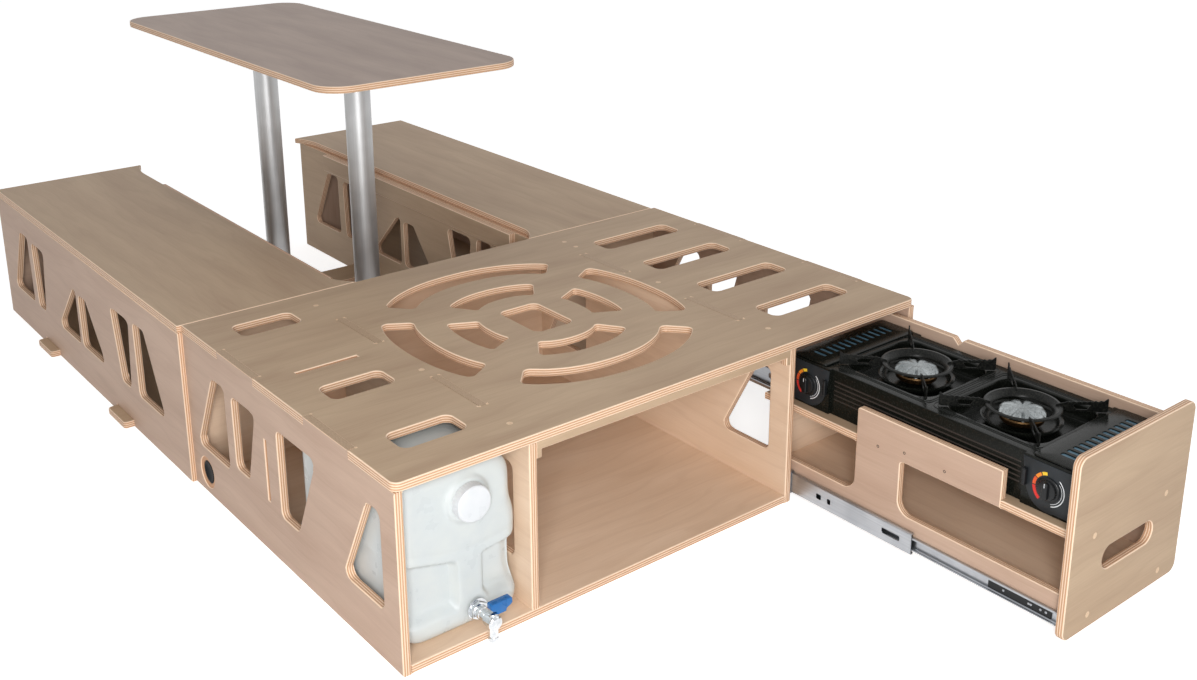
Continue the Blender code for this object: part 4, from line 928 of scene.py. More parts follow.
@dataclass
class Joinery:
    """All the plywood: every panel of every unit, and the ends of the tabs that come through the top."""

    plug_hole: Point = (23.5 * MM, 7.5 * MM, 3 * MM)
    overcut: float = 2.6 * MM
    # These inner panels get the plywood painted paler, which is painted light
    pale: tuple[str, ...] = ("box_floor", "box_back", "divider_", "drawer_back", "drawer_floor")
    pink: tuple[str, ...] = ("box_side_", "bench_left_outer", "bench_right_outer", "bench_left_end",
                             "bench_right_end", "drawer_side_")

    def build(self) -> None:
        """Builds every panel of every unit, and the tabs."""
        place = 0
        for unit in Unit:
            nodes = unit.nodes()
            trees = {node: self.tree(node) for node in nodes}
            for node in nodes:
                others = [tree for name, tree in trees.items() if name != node]
                recess = self.plug_hole if node == "box_side_left" else None
                Panel(node, others, place, recess=recess, finish=self.finish_of(node)).build()
                place += 1
        self.tabs()

    def finish_of(self, node: str) -> BirchPlywood:
        """The finish of a panel: the sheet it was cut from, or for the inner panels the paler copy that is painted
        light.
        """
        if node.startswith(self.pale):
            return PAINTED_LIGHT_PLYWOOD
        if node.startswith(self.pink):
            return PINK_PLYWOOD
        return GREY_PLYWOOD if node.startswith("table_") else PLYWOOD

    def tabs(self) -> None:
        """The tabs' ends, sanded flush with the box's top, and the router's round overcuts at their corners.

        A tab's end is its panel's loop at the top, drawn in by the joint's thin dark gap. It fills what the
        tab stands below the face, and 0.1 mm more.
        """
        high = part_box("box_top")[1]
        ends, cuts = [], []
        gap = 0.4 * MM
        profile = [(0.0, 0.0), (self.overcut, 0.0), (self.overcut, 0.3 * MM), (0.0, 0.4 * MM)]
        for node in Unit.FRONT_BOX.nodes():
            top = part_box(node)[1].z
            if node == "box_top" or abs(top - high.z) > 2 * MM:
                continue
            base = min(top, high.z - 0.2 * MM)
            flat = [(gap, 0.0), (gap, high.z + 0.1 * MM - base)]
            for loop in cad_loops(node, Axis.Z, top):
                ends.append(sweep([turn_left(loop)], [flat], Axis.Z, base))
                corners = loop[(abs(loop[:, 0]) < high.x - self.overcut) & (loop[:, 1] < high.y - self.overcut)]
                cuts += [turned(profile, (*corner, high.z - 0.15 * MM), Axis.Z, 20) for corner in corners]
        new_piece("tab_ends", joined(ends), TAB_END, "frame", smooth=False)
        new_piece("tab_overcuts", joined(cuts), DOWEL, "frame")

    @staticmethod
    def tree(node: str) -> BVHTree:
        """A search tree of a CAD node's surface."""
        mesh = frame["nodes"][node].data
        corners = [vertex.co.copy() for vertex in mesh.vertices]
        return BVHTree.FromPolygons(corners, [tuple(polygon.vertices) for polygon in mesh.polygons])


# Stove

@dataclass
class Stove:
    """The two-burner cartridge stove: pressed casing, pan wells, control housings, lids and cartridges."""

    well_depth: float = 30 * MM
    bay_depth: float = 87 * MM
    bay_length: float = 82 * MM
    well_lip: float = 4 * MM
    well_taper: float = 7 * MM
    bead_height: float = 1.2 * MM
    edge: float = 1.6 * MM
    proud: float = 2.2 * MM
    housing_radius: float = 42 * MM
    rib_pitch: float = 9 * MM
    rib_count: int = 5
    rib_drop: float = 22 * MM
    rib_depth: float = 6 * MM
    rib_margin: float = 0.105
    rib_radius: float = 1.3 * MM
    vent_count: int = 12
    vent_margin: float = 0.026
    vent_share: float = 0.55
    vent_length: float = 0.030
    knob_flutes: int = 24
    bead_reaches: tuple[float, float] = (104.5 * MM, 109.5 * MM)
    bead_radius: float = 16 * MM
    low: Vector = field(init=False)
    high: Vector = field(init=False)

    def __post_init__(self) -> None:
        """Reads the casing's box."""
        self.low, self.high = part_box("stove_body")

    def build(self) -> None:
        """Builds every piece of the stove."""
        self.casing()
        for end, sign in (("front", -1), ("rear", 1)):
            self.housing(end, sign)
            self.ribs(end, sign)
            self.lid(end, sign)
            self.cartridge(end)
            self.dial(end)
            self.knob(end)
            self.lever(end)
        self.top_beads()

    def casing(self) -> None:
        """The casing: the CAD plan swept up its height, with a rolled top edge, tapered wells and bays.

        The outer rim leans in by a quarter round at the top. A well's wall leans in as it goes down.
        """
        outline = cad_loops("stove_body", Axis.Z, self.low.z)[0]
        wells = [loop for loop in cad_loops("stove_body", Axis.Z, self.high.z) if loop_area(loop) < 0]
        middle, sheet = (self.low.x + self.high.x) / 2, 3 * MM
        wide = self.high.x - self.low.x - 2 * sheet
        bays = [slot_loop(middle, y, wide, self.bay_length, 16 * MM)[::-1]
                for y in (self.low.y + sheet + self.bay_length / 2, self.high.y - sheet - self.bay_length / 2)]
        loops = [smoothed(loop) for loop in [outline] + wells] + bays
        height = self.high.z - self.low.z
        outer = [(2 * MM, 0.0), (0.4 * MM, 0.4 * MM), (0.0, 2 * MM)] + self.rolled(self.edge, height)
        profiles = [outer] + [self.well(loop, height) for loop in loops[1:]]
        shape = sweep(loops, profiles, Axis.Z, self.low.z, blind=True)
        new_piece("stove_casing", shape, ENAMEL, "stove", "stove_body")

    @staticmethod
    def rolled(radius: float, height: float, steps: int = 6) -> Rows:
        """A rim's quarter round at the top: insets radius times 1 less the cosine, heights by the sine."""
        turn = np.linspace(0, math.pi / 2, steps)
        return [(radius * (1 - math.cos(a)), height - radius * (1 - math.sin(a))) for a in turn]

    def well(self, loop: np.ndarray, height: float) -> Rows:
        """An opening's profile from its floor up: a burner's well leans in, a cartridge's bay hardly does."""
        is_burner = np.ptp(loop[:, 1]) > 0.1
        floor = height - (self.well_depth if is_burner else self.bay_depth)
        taper = self.well_taper if is_burner else 1 * MM
        lip = self.well_lip if is_burner else 1 * MM
        rows = [(-taper - 2 * MM, floor), (-0.7 * taper, floor + 1 * MM), (-0.3 * taper, floor + 4 * MM),
                (-0.4 * MM, floor + 10 * MM), (0.0, height - 1.6 * lip)]
        return rows + self.rolled(lip, height, 5)

    def top_beads(self) -> None:
        """Two raised beads pressed round each burner's square: a half round carried along a rounded square."""
        parts = []
        for end in ("front", "rear"):
            middle = extent(f"burner_{end}")[2]
            for reach in self.bead_reaches:
                loop = slot_loop(middle.x, middle.y, 2 * reach, 2 * reach, self.bead_radius, 8)
                parts.append(bead(loop, self.high.z - 0.3 * MM, 1.1 * MM, self.bead_height))
        new_piece("stove_top_beads", joined(parts), ENAMEL, "stove")

    def knob_place(self, end: str) -> Point:
        """Where the knob's middle meets the housing's face."""
        low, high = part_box(f"gas_knob_{end}")
        return self.low.x - self.proud, (low.y + high.y) / 2, (low.z + high.z) / 2

    def housing(self, end: str, sign: int) -> None:
        """The control housing on the stove's face: a plate whose foot swells round below the knob.

        Its outline is a circle round the knob, joined by straight sides to the casing's top edge.
        """
        _, y, z = self.knob_place(end)
        edge_y = self.low.y if sign < 0 else self.high.y
        inner = y - sign * 0.050
        top = self.high.z - 4 * MM
        turn = np.linspace(-0.06, 0.60, 15) * math.pi
        arc = [(y - sign * self.housing_radius * math.cos(a), z - self.housing_radius * math.sin(a)) for a in turn]
        outer_end = edge_y - sign * 9 * MM
        outline = [(inner, top), (inner + sign * 4 * MM, z + 0.012)] + arc + [(outer_end, z - 0.040), (outer_end, top)]
        root, deep = 4 * MM, self.proud + 4 * MM
        rim = [(0.0, 0.0), (0.0, root), (0.0, deep - 1.2 * MM), (0.4 * MM, deep - 0.35 * MM), (1.3 * MM, deep)]
        shape = facing(turn_left(outline), rim, self.low.x + root)
        new_piece(f"control_housing_{end}", shape, CONTROL_PLASTIC, "stove")

    def ribs(self, end: str, sign: int) -> None:
        """Long pressed ribs on half of the stove's left side, half rounds along Y, coloured with a painted sheen."""
        waist = self.low.x + self.rib_depth
        middle = (self.low.y + self.high.y) / 2
        far = (self.low.y if sign < 0 else self.high.y) - sign * self.rib_margin
        parts = []
        for place in range(self.rib_count):
            height = self.high.z - self.rib_drop - place * self.rib_pitch
            line = np.array([(waist, min(far, middle), height), (waist, max(far, middle), height)])
            parts.append(half_round(line, self.rib_radius))
        # The ribs' brownish, lighter colour is a painted sheen on the black side
        new_piece(f"side_ribs_{end}", joined(parts), SHEEN_PAINTED_ENAMEL, "stove")

    def lid(self, end: str, sign: int) -> None:
        """The cartridge lid: a flat plate with eased rims and a row of vent slots over one lighter insert."""
        low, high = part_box(f"cartridge_lid_{end}")
        outline = smoothed(cad_loops(f"cartridge_lid_{end}", Axis.Z, high.z)[0])
        thick = high.z - low.z
        middle_y = (low.y + high.y) / 2 + sign * 4 * MM
        vents, count = [], self.vent_count
        span = (high.x - low.x) - 2 * self.vent_margin
        for place in range(count):
            x = low.x + self.vent_margin + span * (place + 0.5) / count
            vents.append(slot_loop(x, middle_y, span / count * self.vent_share, self.vent_length, 2.2 * MM)[::-1])
        rim = [(1.2 * MM, 0.0), (0.0, 0.8 * MM), (0.0, thick - 1.2 * MM), (0.5 * MM, thick - 0.35 * MM),
               (1.6 * MM, thick)]
        vent = [(0.0, 0.0), (0.0, thick - 0.6 * MM), (0.5 * MM, thick)]
        shape = sweep([outline] + vents, [rim] + [vent] * count, Axis.Z, low.z)
        new_piece(f"cartridge_lid_{end}_vented", shape, ENAMEL, f"{end}_cartridge_lid",
                  f"cartridge_lid_{end}")
        insert = slot_loop((low.x + high.x) / 2, middle_y, span, 0.034, 3 * MM)
        flat = [(0.0, 0.0), (0.0, 0.8 * MM)]
        shape = sweep([insert], [flat], Axis.Z, low.z + 0.3 * MM)
        new_piece(f"vent_insert_{end}", shape, VENT_TEAL, f"{end}_cartridge_lid")

    def cartridge(self, end: str) -> None:
        """A gas cartridge lying in its bay: rolled rims, a domed shoulder, a collar and a valve stem."""
        low, high, middle = extent(f"gas_cartridge_{end}")
        radius, long = (high.z - low.z) / 2, high.x - low.x
        corners = [(0.0, 0.0), (0.0045, 0.0), (0.0045, 0.007), (0.0118, 0.007), (0.0128, 0.012), (radius * 0.6, 0.014),
                   (radius * 0.93, 0.021), (radius, 0.024), (radius, 0.026), (radius * 0.975, 0.028),
                   (radius * 0.975, long - 0.004), (radius, long - 0.002), (radius * 0.96, long),
                   (radius * 0.88, long - 0.005), (0.0, long - 0.008)]
        shape = turned_round(corners, 0.8 * MM, 2, (low.x, middle.y, middle.z), Axis.X, 48)
        new_piece(f"gas_cartridge_{end}_tin", shape, TINPLATE, "stove", f"gas_cartridge_{end}")

    def dial(self, end: str) -> None:
        """The printed dial round the knob: a flame arc in four warm steps and a white arc opposite."""
        face, y, z = self.knob_place(end)
        arcs = [(1.02, 1.30, "#d8352f", "red"), (0.84, 1.00, "#e2592b", "orange_red"),
                (0.68, 0.82, "#ef8b2a", "orange"), (0.55, 0.66, "#f3c838", "yellow")]
        for start, end_turn, colour, name in arcs:
            finish = MouldedPlastic(f"dial_{name}", colour, colour, 0.4)
            self.arc(f"dial_{name}_{end}", finish, (face, y, z), (start, end_turn), 0.0235, 0.0290)
        self.arc(f"dial_white_{end}", DIAL_WHITE, (face, y, z), (-0.42, 0.28), 0.0275, 0.0290)
        self.arc(f"dial_inner_{end}", DIAL_WHITE, (face, y, z), (-0.42, 0.22), 0.0240, 0.0247)

    def arc(self, name: str, finish: Finish, middle: Point, turns: tuple[float, float], inner: float,
            outer: float) -> None:
        """A thin raised arc on the housing: a ring sector between two radii, its turns in half circles,
        measured from the stove's front towards its top."""
        turn = np.linspace(*turns, 24) * math.pi
        spread = np.stack([-np.cos(turn), np.sin(turn)], -1)
        loop = turn_left(np.concatenate([spread * outer, spread[::-1] * inner])) + np.array(middle[1:])
        shape = facing(loop, [(0.0, 0.0), (0.0, 0.25 * MM)], middle[0] + 0.1 * MM)
        new_piece(name, shape, finish, "stove", smooth=False)

    def knob(self, end: str) -> None:
        """The gas knob: a skirt, a body with shallow flutes, a bar grip across it and a pointer line.

        Each ring of the body is a circle whose radius dips by a cosine of as many turns as flutes.
        """
        low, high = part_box(f"gas_knob_{end}")
        face, y, z = self.knob_place(end)
        radius, deep = (high.z - low.z) / 2, face - low.x
        flute = -0.035 * radius
        rows = [(0.0, 0.2 * MM), (radius, 0.2 * MM), (radius, 0.16 * deep), (0.96 * radius, 0.22 * deep),
                (0.84 * radius, 0.26 * deep, flute, 0.0), (0.82 * radius, 0.48 * deep, flute, 0.0),
                (0.79 * radius, 0.56 * deep, flute, 0.0), (0.70 * radius, 0.60 * deep), (0.0, 0.60 * deep)]
        body = moved(turned(rows, (0.0, 0.0, 0.0), Axis.X, 5 * self.knob_flutes, self.knob_flutes), (0.0, y, z))
        grip = slot_loop(y, z, radius * 0.5, radius * 1.5, radius * 0.24)
        bar_rim = [(-0.6 * MM, 0.5 * deep), (0.0, 0.64 * deep), (0.0, 0.9 * deep), (0.7 * MM, 0.97 * deep),
                   (1.8 * MM, deep)]
        shape = mirrored(joined([body, sweep([grip], [bar_rim], Axis.X, 0.0)]), Axis.X, face)
        new_piece(f"gas_knob_{end}_fluted", shape, KNOB_PLASTIC, f"{end}_knob", f"gas_knob_{end}")
        mark = slot_loop(y, z + radius * 0.52, 1.2 * MM, radius * 0.36, 0.5 * MM)
        line = facing(mark, [(0.0, 0.0), (0.0, 0.2 * MM)], low.x + 0.15 * MM)
        new_piece(f"knob_pointer_{end}", line, DIAL_WHITE, f"{end}_knob", smooth=False)

    def lever(self, end: str) -> None:
        """The cartridge lock lever: a rounded bar with grip steps."""
        low, high, middle = extent(f"lock_lever_{end}")
        face = self.low.x - self.proud - 0.1 * MM
        deep = face - low.x
        loop = slot_loop(middle.y, middle.z, high.y - low.y, high.z - low.z, 2 * MM)
        rim = [(0.0, 0.0), (0.0, deep - 2.5 * MM), (0.6 * MM, deep - 0.8 * MM), (1.8 * MM, deep)]
        points, faces = sweep([loop], [rim], Axis.X, 0.0, spacing=1.2 * MM)
        steps = 0.5 * MM * (np.cos((points[:, 2] - middle.z) / (3.2 * MM) * 2 * math.pi) - 1) / 2
        points[:, 0] += np.where(points[:, 0] > deep - 0.3 * MM, steps, 0)
        new_piece(f"lock_lever_{end}_stepped", mirrored((points, faces), Axis.X, face), KNOB_PLASTIC, f"{end}_lever",
                  f"lock_lever_{end}")


def slot_loop(u: float, v: float, width: float, height: float, radius: float, steps: int = 5) -> np.ndarray:
    """A rounded rectangle round a middle, anticlockwise: each corner a quarter circle of the radius."""
    radius = min(radius, width / 2, height / 2)
    turn = np.linspace(0, math.pi / 2, steps + 1)
    corners = []
    for quarter, (x, y) in enumerate(((1, 1), (-1, 1), (-1, -1), (1, -1))):
        angle = turn + quarter * math.pi / 2
        centre = np.array([u + x * (width / 2 - radius), v + y * (height / 2 - radius)])
        corners.append(centre + radius * np.stack([np.cos(angle), np.sin(angle)], -1))
    loop = np.concatenate(corners)
    gap = np.linalg.norm(np.roll(loop, -1, 0) - loop, axis=1)
    return loop[gap > 1e-6]


def bead(loop: np.ndarray, base: float, radius: float, height: float, steps: int = 7) -> Shape:
    """A half round carried along a closed line in the X Y plane: each point moves by its mitre times the
    cosine of the turn, and rises by the sine."""
    turn = np.linspace(0, math.pi, steps)
    rings = loop[None] + np.cos(turn)[:, None, None] * radius * mitres(loop)[None]
    height_rows = np.repeat(base + np.sin(turn)[:, None] * height, len(loop), 1)
    points = lay(rings.reshape(-1, 2), height_rows.reshape(-1), Axis.Z)
    faces = grid_faces(len(turn), len(loop), True)
    close = np.arange(len(loop))
    after = (close + 1) % len(loop)
    last = (len(turn) - 1) * len(loop)
    floor = np.stack([close, last + close, last + after, after], -1)
    return points, [faces[:, ::-1], floor[:, ::-1]]


def half_round(line: np.ndarray, radius: float, sides: int = 12, steps: int = 6) -> Shape:
    """A rib along Y with round ends: a bar, half of it sunk in the wall, whose radius closes at each end by the
    square root of 1 less the square of the distance past it."""
    closing = np.linspace(0, math.pi / 2, steps)
    share = np.concatenate([-np.cos(closing), np.cos(closing[::-1])])
    size = np.sqrt(np.clip(1 - share ** 2, 0, 1)) * radius + 1e-6
    y = np.where(share < 0, line[0, 1] + (1 + share) * radius, line[1, 1] - (1 - share) * radius)
    turn = np.linspace(0, 2 * math.pi, sides, endpoint=False)
    x = line[0, 0] - np.cos(turn)[None] * size[:, None]
    z = line[0, 2] + np.sin(turn)[None] * size[:, None]
    points = np.stack([x, np.repeat(y[:, None], sides, 1), z], -1).reshape(-1, 3)
    ends = np.arange(sides)
    return points, [grid_faces(len(share), sides, True), ends[None, ::-1], (ends + (len(share) - 1) * sides)[None]]


# Burners and pan supports

@dataclass
class Burner:
    """A cast burner head in its well, and the enamelled trivet that stands over it."""

    end: str
    flutes: int = 10
    flute_depth: float = 4.2 * MM
    arm_sheet: float = 2.2 * MM
    arm_root: float = 54 * MM
    ring_radius: float = 62 * MM
    arm_steps: int = 7

    def build(self) -> None:
        """Builds the head, its brass collar and the trivet."""
        self.head()
        self.trivet()

    def head(self) -> None:
        """The burner head: a dome pressed in by radial flutes, on a brass collar in a dark bowl.

        A flute is where the dome dips by the ripple, to the fourth power.
        """
        low, high, middle = extent(f"burner_{self.end}")
        top = high.z - low.z
        rows = np.array([(24.0, 14.0, 0.0), (24.0, 20.0, 0.0), (30.0, 23.0, 0.0), (37.0, 24.0, 0.0),
                         (39.4, 25.2, 0.3), (40.0, 27.0, 0.7), (39.2, 28.6, 1.0), (36.0, 30.6, 1.0),
                         (31.0, 32.4, 1.0), (26.0, 33.6, 1.0), (20.0, 34.3, 0.8), (14.0, 34.6, 0.3),
                         (9.0, 34.6, 0.0), (7.5, 33.8, 0.0), (0.0, 33.8, 0.0)])
        rows *= (MM, MM * top / (34.6 * MM), -self.flute_depth)
        profile = [(0.0, rows[0, 1])] + [(radius, height, 0.0, dip) for radius, height, dip in rows.tolist()]
        shape = turned(profile, (middle.x, middle.y, low.z), Axis.Z, self.flutes * 16, self.flutes, 4)
        new_piece(f"burner_{self.end}_head", shape, BURNER_ALLOY, "stove", f"burner_{self.end}")
        ring = np.array([(20.0, 9.0), (34.0, 10.0), (37.5, 13.0), (38.5, 20.0), (37.0, 22.5), (20.0, 22.5)])
        collar = turned_ring(ring * MM, (middle.x, middle.y, low.z), 64)
        new_piece(f"burner_{self.end}_collar", collar, BURNER_BRASS, "stove")
        dish = np.array([(18.0, 0.4), (50.0, 0.4), (57.0, 3.0), (62.0, 8.0), (64.0, 14.0), (67.0, 15.6),
                         (69.0, 14.8), (69.0, 16.4), (66.0, 17.4), (62.0, 15.4), (59.5, 9.0), (54.5, 5.0),
                         (48.0, 2.2), (18.0, 2.0)])
        bowl = turned_ring(dish * MM, (middle.x, middle.y, low.z), 96)
        new_piece(f"burner_{self.end}_bowl", bowl, ENAMEL, "stove")

    def trivet(self) -> None:
        """The pan support: a pressed ring and four upright arms on the diagonals, rising to a point."""
        low, high, middle = extent(f"pan_support_{self.end}")
        tall = high.z - low.z
        reach = (high.x - low.x) / 2 * math.sqrt(2) - 2 * MM
        parts = [turned_ring(self.ring_profile(), (middle.x, middle.y, low.z), 96)]
        for quarter in range(4):
            turn = math.pi / 4 + quarter * math.pi / 2
            points, faces = self.arm(reach, tall)
            rotated = np.stack([points[:, 0] * math.cos(turn) - points[:, 1] * math.sin(turn),
                                points[:, 0] * math.sin(turn) + points[:, 1] * math.cos(turn), points[:, 2]], -1)
            parts.append((rotated + np.array([middle.x, middle.y, low.z]), faces))
        new_piece(f"pan_support_{self.end}_trivet", joined(parts), TRIVET_ENAMEL, f"{self.end}_pan_support",
                  f"pan_support_{self.end}")

    def ring_profile(self) -> np.ndarray:
        """Section of the pressed ring: a rolled outer lip, a sloping web and a turned-down inner lip."""
        r = self.ring_radius
        rows = np.array([(-13.0, 0.8), (-11.0, 0.6), (-6.0, 5.6), (-1.0, 8.4), (3.0, 7.6), (4.2, 8.8), (2.8, 10.8),
                         (-1.6, 11.4), (-6.6, 9.0), (-12.4, 3.0)]) * MM
        return rows + np.array([r, 0.0])

    def arm(self, reach: float, tall: float) -> Shape:
        """An upright arm as a thin plate along X: the steps along its top rise to a point at its end, and a
        four-sided hole lightens it. Its rim is rounded all round."""
        root = self.arm_root
        along = np.linspace(reach - 0.012, root + 0.016, 2 * self.arm_steps)
        rise = tall * (0.62 + 0.16 * (along - root) / (reach - root))
        rise[::2] += 1.8 * MM
        top = np.stack([along, rise], -1)
        outline = np.concatenate([[(root + 0.004, 0.004), (root + 0.022, 0.0006), (reach - 0.003, 0.0006),
                                   (reach, 0.003), (reach, tall - 0.001), (reach - 0.0015, tall),
                                   (reach - 0.0075, tall * 0.80)], top, [(root + 0.001, tall * 0.50),
                                                                         (root, tall * 0.34)]])
        hole = np.array([(root + 0.034, 0.0045), (root + 0.028, 0.0125), (root + 0.058, 0.0135),
                         (root + 0.052, 0.0045)])
        half = self.arm_sheet / 2
        rim = [(0.5 * MM, -half), (0.0, -half * 0.5), (0.0, half * 0.5), (0.5 * MM, half)]
        loops = [turn_left(outline[:, ::-1]), turn_left(hole[:, ::-1])[::-1]]
        return sweep(loops, [rim, rim], Axis.Y, 0.0)


# Drawer slides

@dataclass
class Slide:
    """One three-part telescopic slide of pressed zinc-plated steel, beside the drawer."""

    side: str
    sheet: float = 1.3 * MM
    bend: float = 1.2 * MM
    rivets: tuple[float, ...] = (0.020, 0.030, 0.048, 0.052, 0.100)

    def build(self) -> None:
        """Builds the outer, middle and inner member."""
        self.member("outer", "frame", [(0.06, 0.024), (0.20, 0.010), (0.36, 0.024), (0.50, 0.010)])
        self.member("middle", "slide_middles", [(0.045, 0.040), (0.190, 0.008), (0.215, 0.012), (0.40, 0.040)])
        self.member("inner", "drawer", [])
        self.front_stop()
        self.ball_cage()

    def member(self, name: str, body: str, places: Rows) -> None:
        """A member: the CAD channel's web with slots punched through it, and its rolled flanges.

        The section is carried along Y. The web is a flat plate between two bends; each punched slot is a
        rounded rectangle through it.
        """
        node = f"slide_{name}_{self.side}"
        low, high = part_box(node)
        inward = (1 if self.side == "left" else -1) * (-1 if name == "inner" else 1)
        web = low.x if inward > 0 else high.x
        height = high.z - low.z
        outline = turn_left([(low.y, low.z + 2 * self.bend), (high.y, low.z + 2 * self.bend),
                             (high.y, high.z - 2 * self.bend), (low.y, high.z - 2 * self.bend)])
        slots = [slot_loop(low.y + place, (low.z + high.z) / 2, long, height * 0.26, 2.5 * MM)[::-1]
                 for place, long in places]
        rim = [(0.0, 0.0), (0.0, self.sheet)]
        plate = sweep([outline] + slots, [rim] * (1 + len(slots)), Axis.X, min(web, web + inward * self.sheet))
        flanges = [self.flange(low, high, web, inward, edge, up) for edge, up in ((low.z, 1), (high.z, -1))]
        new_piece(f"{node}_pressed", joined([plate, *flanges]), ZINC, body, node)

    def flange(self, low: Vector, high: Vector, web: float, inward: int, edge: float, up: int) -> Shape:
        """A rolled flange along Y: a strip that leaves the web in a quarter circle and ends in a small curl."""
        wide = high.x - low.x
        turn = np.linspace(0, math.pi / 2, 5)
        reach = 2 * self.bend
        outer = [(reach * (1 - math.cos(a)), reach * (1 - math.sin(a))) for a in turn]
        outer += [(wide - self.bend, 0.0), (wide, self.bend), (wide, 2.4 * self.bend)]
        inner = [(self.sheet, reach), (self.sheet + self.bend * 0.4, self.sheet + self.bend * 0.4),
                 (reach, self.sheet), (wide - self.sheet - 0.3 * MM, self.sheet), (wide - self.sheet, 2.4 * self.bend)]
        section = np.array(outer + inner[::-1])
        loop = np.stack([edge + up * section[:, 1], web + inward * section[:, 0]], -1)
        rim = [(0.0, low.y), (0.0, high.y)]
        return sweep([turn_left(loop)], [rim], Axis.Y, 0.0)

    def ball_cage(self) -> None:
        """The black plate riveted inside the inner member near the drawer's front, with five bright rivets."""
        low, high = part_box(f"slide_inner_{self.side}")
        sign = 1 if self.side == "left" else -1
        web = (high.x if sign > 0 else low.x) - sign * self.sheet
        loop = slot_loop(low.y + 0.070, (low.z + high.z) / 2 - 1 * MM, 0.120, (high.z - low.z) * 0.56, 2 * MM)
        rim = [(0.3 * MM, 0.0), (0.0, 0.3 * MM), (0.0, 1.5 * MM), (0.5 * MM, 2 * MM)]
        plate = sweep([loop], [rim], Axis.X, 0.0)
        places = [low.y + offset for offset in self.rivets]
        head = [(0.0, 0.0), (2.2 * MM, 0.0), (2.2 * MM, 0.3 * MM), (1.4 * MM, 0.9 * MM), (0.0, 1.1 * MM)]
        studs = joined([turned(head, (2 * MM, y, (low.z + high.z) / 2), Axis.X, 16) for y in places])
        shapes = [mirrored(shape, Axis.X, web) if sign > 0 else moved(shape, (web, 0.0, 0.0))
                  for shape in (plate, studs)]
        new_piece(f"slide_cage_{self.side}", shapes[0], KNOB_PLASTIC, "drawer")
        new_piece(f"slide_rivets_{self.side}", shapes[1], ZINC, "drawer")

    def front_stop(self) -> None:
        """The black ball cage and end stop at the middle member's front end, with teeth between the balls."""
        low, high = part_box(f"slide_middle_{self.side}")
        inward = 1 if self.side == "left" else -1
        x = (low.x + high.x) / 2 + inward * 0.4 * MM
        teeth = 5
        along = np.linspace(low.y + 0.5 * MM, low.y + 14 * MM, 4 * teeth)
        half = (high.z - low.z) / 2 - 3.2 * MM + 0.9 * MM * np.sign(np.sin(np.arange(4 * teeth) * math.pi / 2 + 0.7))
        middle = (low.z + high.z) / 2
        loop = np.concatenate([np.stack([along, middle - half], -1), np.stack([along, middle + half], -1)[::-1]])
        thick = 1.6 * MM
        rim = [(0.3 * MM, 0.0), (0.0, 0.4 * MM), (0.0, thick - 0.4 * MM), (0.3 * MM, thick)]
        shape = sweep([turn_left(loop)], [rim], Axis.X, x - thick / 2)
        new_piece(f"slide_stop_{self.side}", shape, KNOB_PLASTIC, "slide_middles")


# Table legs

@dataclass
class Leg:
    """A table leg: an anodised tube in a floor socket, under a collar screwed to the table."""

    end: str
    body: str
    bore: float = 30.4 * MM

    def build(self) -> None:
        """Builds the tube, the socket and the collar."""
        self.tube()
        self.socket()
        self.collar()

    def tube(self) -> None:
        """The drawn tube, its ends eased, with a fine groove where the collar's sleeve begins."""
        low, high, middle = extent(f"table_leg_{self.end}")
        radius, tall = (high.x - low.x) / 2, high.z - low.z
        corners = [(0.0, 0.0), (radius, 0.0), (radius, tall - 0.034), (radius - 0.0006, tall - 0.033),
                   (radius, tall - 0.032), (radius, tall), (0.0, tall)]
        shape = turned_round(corners, 1 * MM, 3, (middle.x, middle.y, low.z), Axis.Z, 72)
        new_piece(f"table_leg_{self.end}_tube", shape, LEG_ALUMINIUM, self.body,
                  f"table_leg_{self.end}")

    def ring(self, node: str, rows: Rows, finish: Finish, body: str, slot: str) -> None:
        """A turned ring in a node's place; rows are radii and heights from the node's low face."""
        low, _, middle = extent(node)
        shape = turned_ring(np.array(rows), (middle.x, middle.y, low.z), 64)
        new_piece(f"{node}_turned", shape, finish, body, node)

    def socket(self) -> None:
        """The floor socket: a flange with an eased rim and a sleeve that grips the tube."""
        low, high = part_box(f"leg_socket_{self.end}")
        tall, wide, inner = high.z - low.z, (high.x - low.x) / 2, self.bore
        self.ring(f"leg_socket_{self.end}",
                  [(inner, 0.0), (wide - 1 * MM, 0.0), (wide, 1 * MM), (wide, 4 * MM), (wide - 1.5 * MM, 6 * MM),
                   (36 * MM, 6 * MM), (34 * MM, 8.5 * MM), (33.4 * MM, 12 * MM), (33.4 * MM, tall - 1 * MM),
                   (32.4 * MM, tall), (inner + 0.6 * MM, tall), (inner, tall - 0.8 * MM)], KNOB_PLASTIC, "frame",
                  "black_plastic")

    def collar(self) -> None:
        """The collar under the table: a sleeve that widens to a screwed flange."""
        low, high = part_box(f"table_collar_{self.end}")
        tall, wide, inner = high.z - low.z, (high.x - low.x) / 2, self.bore
        self.ring(f"table_collar_{self.end}",
                  [(inner, 1 * MM), (inner + 0.6 * MM, 0.0), (32.4 * MM, 0.0), (33.2 * MM, 1 * MM),
                   (33.6 * MM, tall - 9 * MM), (36 * MM, tall - 6 * MM), (wide - 2 * MM, tall - 4.5 * MM),
                   (wide, tall - 3 * MM), (wide, tall), (inner, tall)], LEG_ALUMINIUM, "table", "leg_aluminium")


# Water can and tap

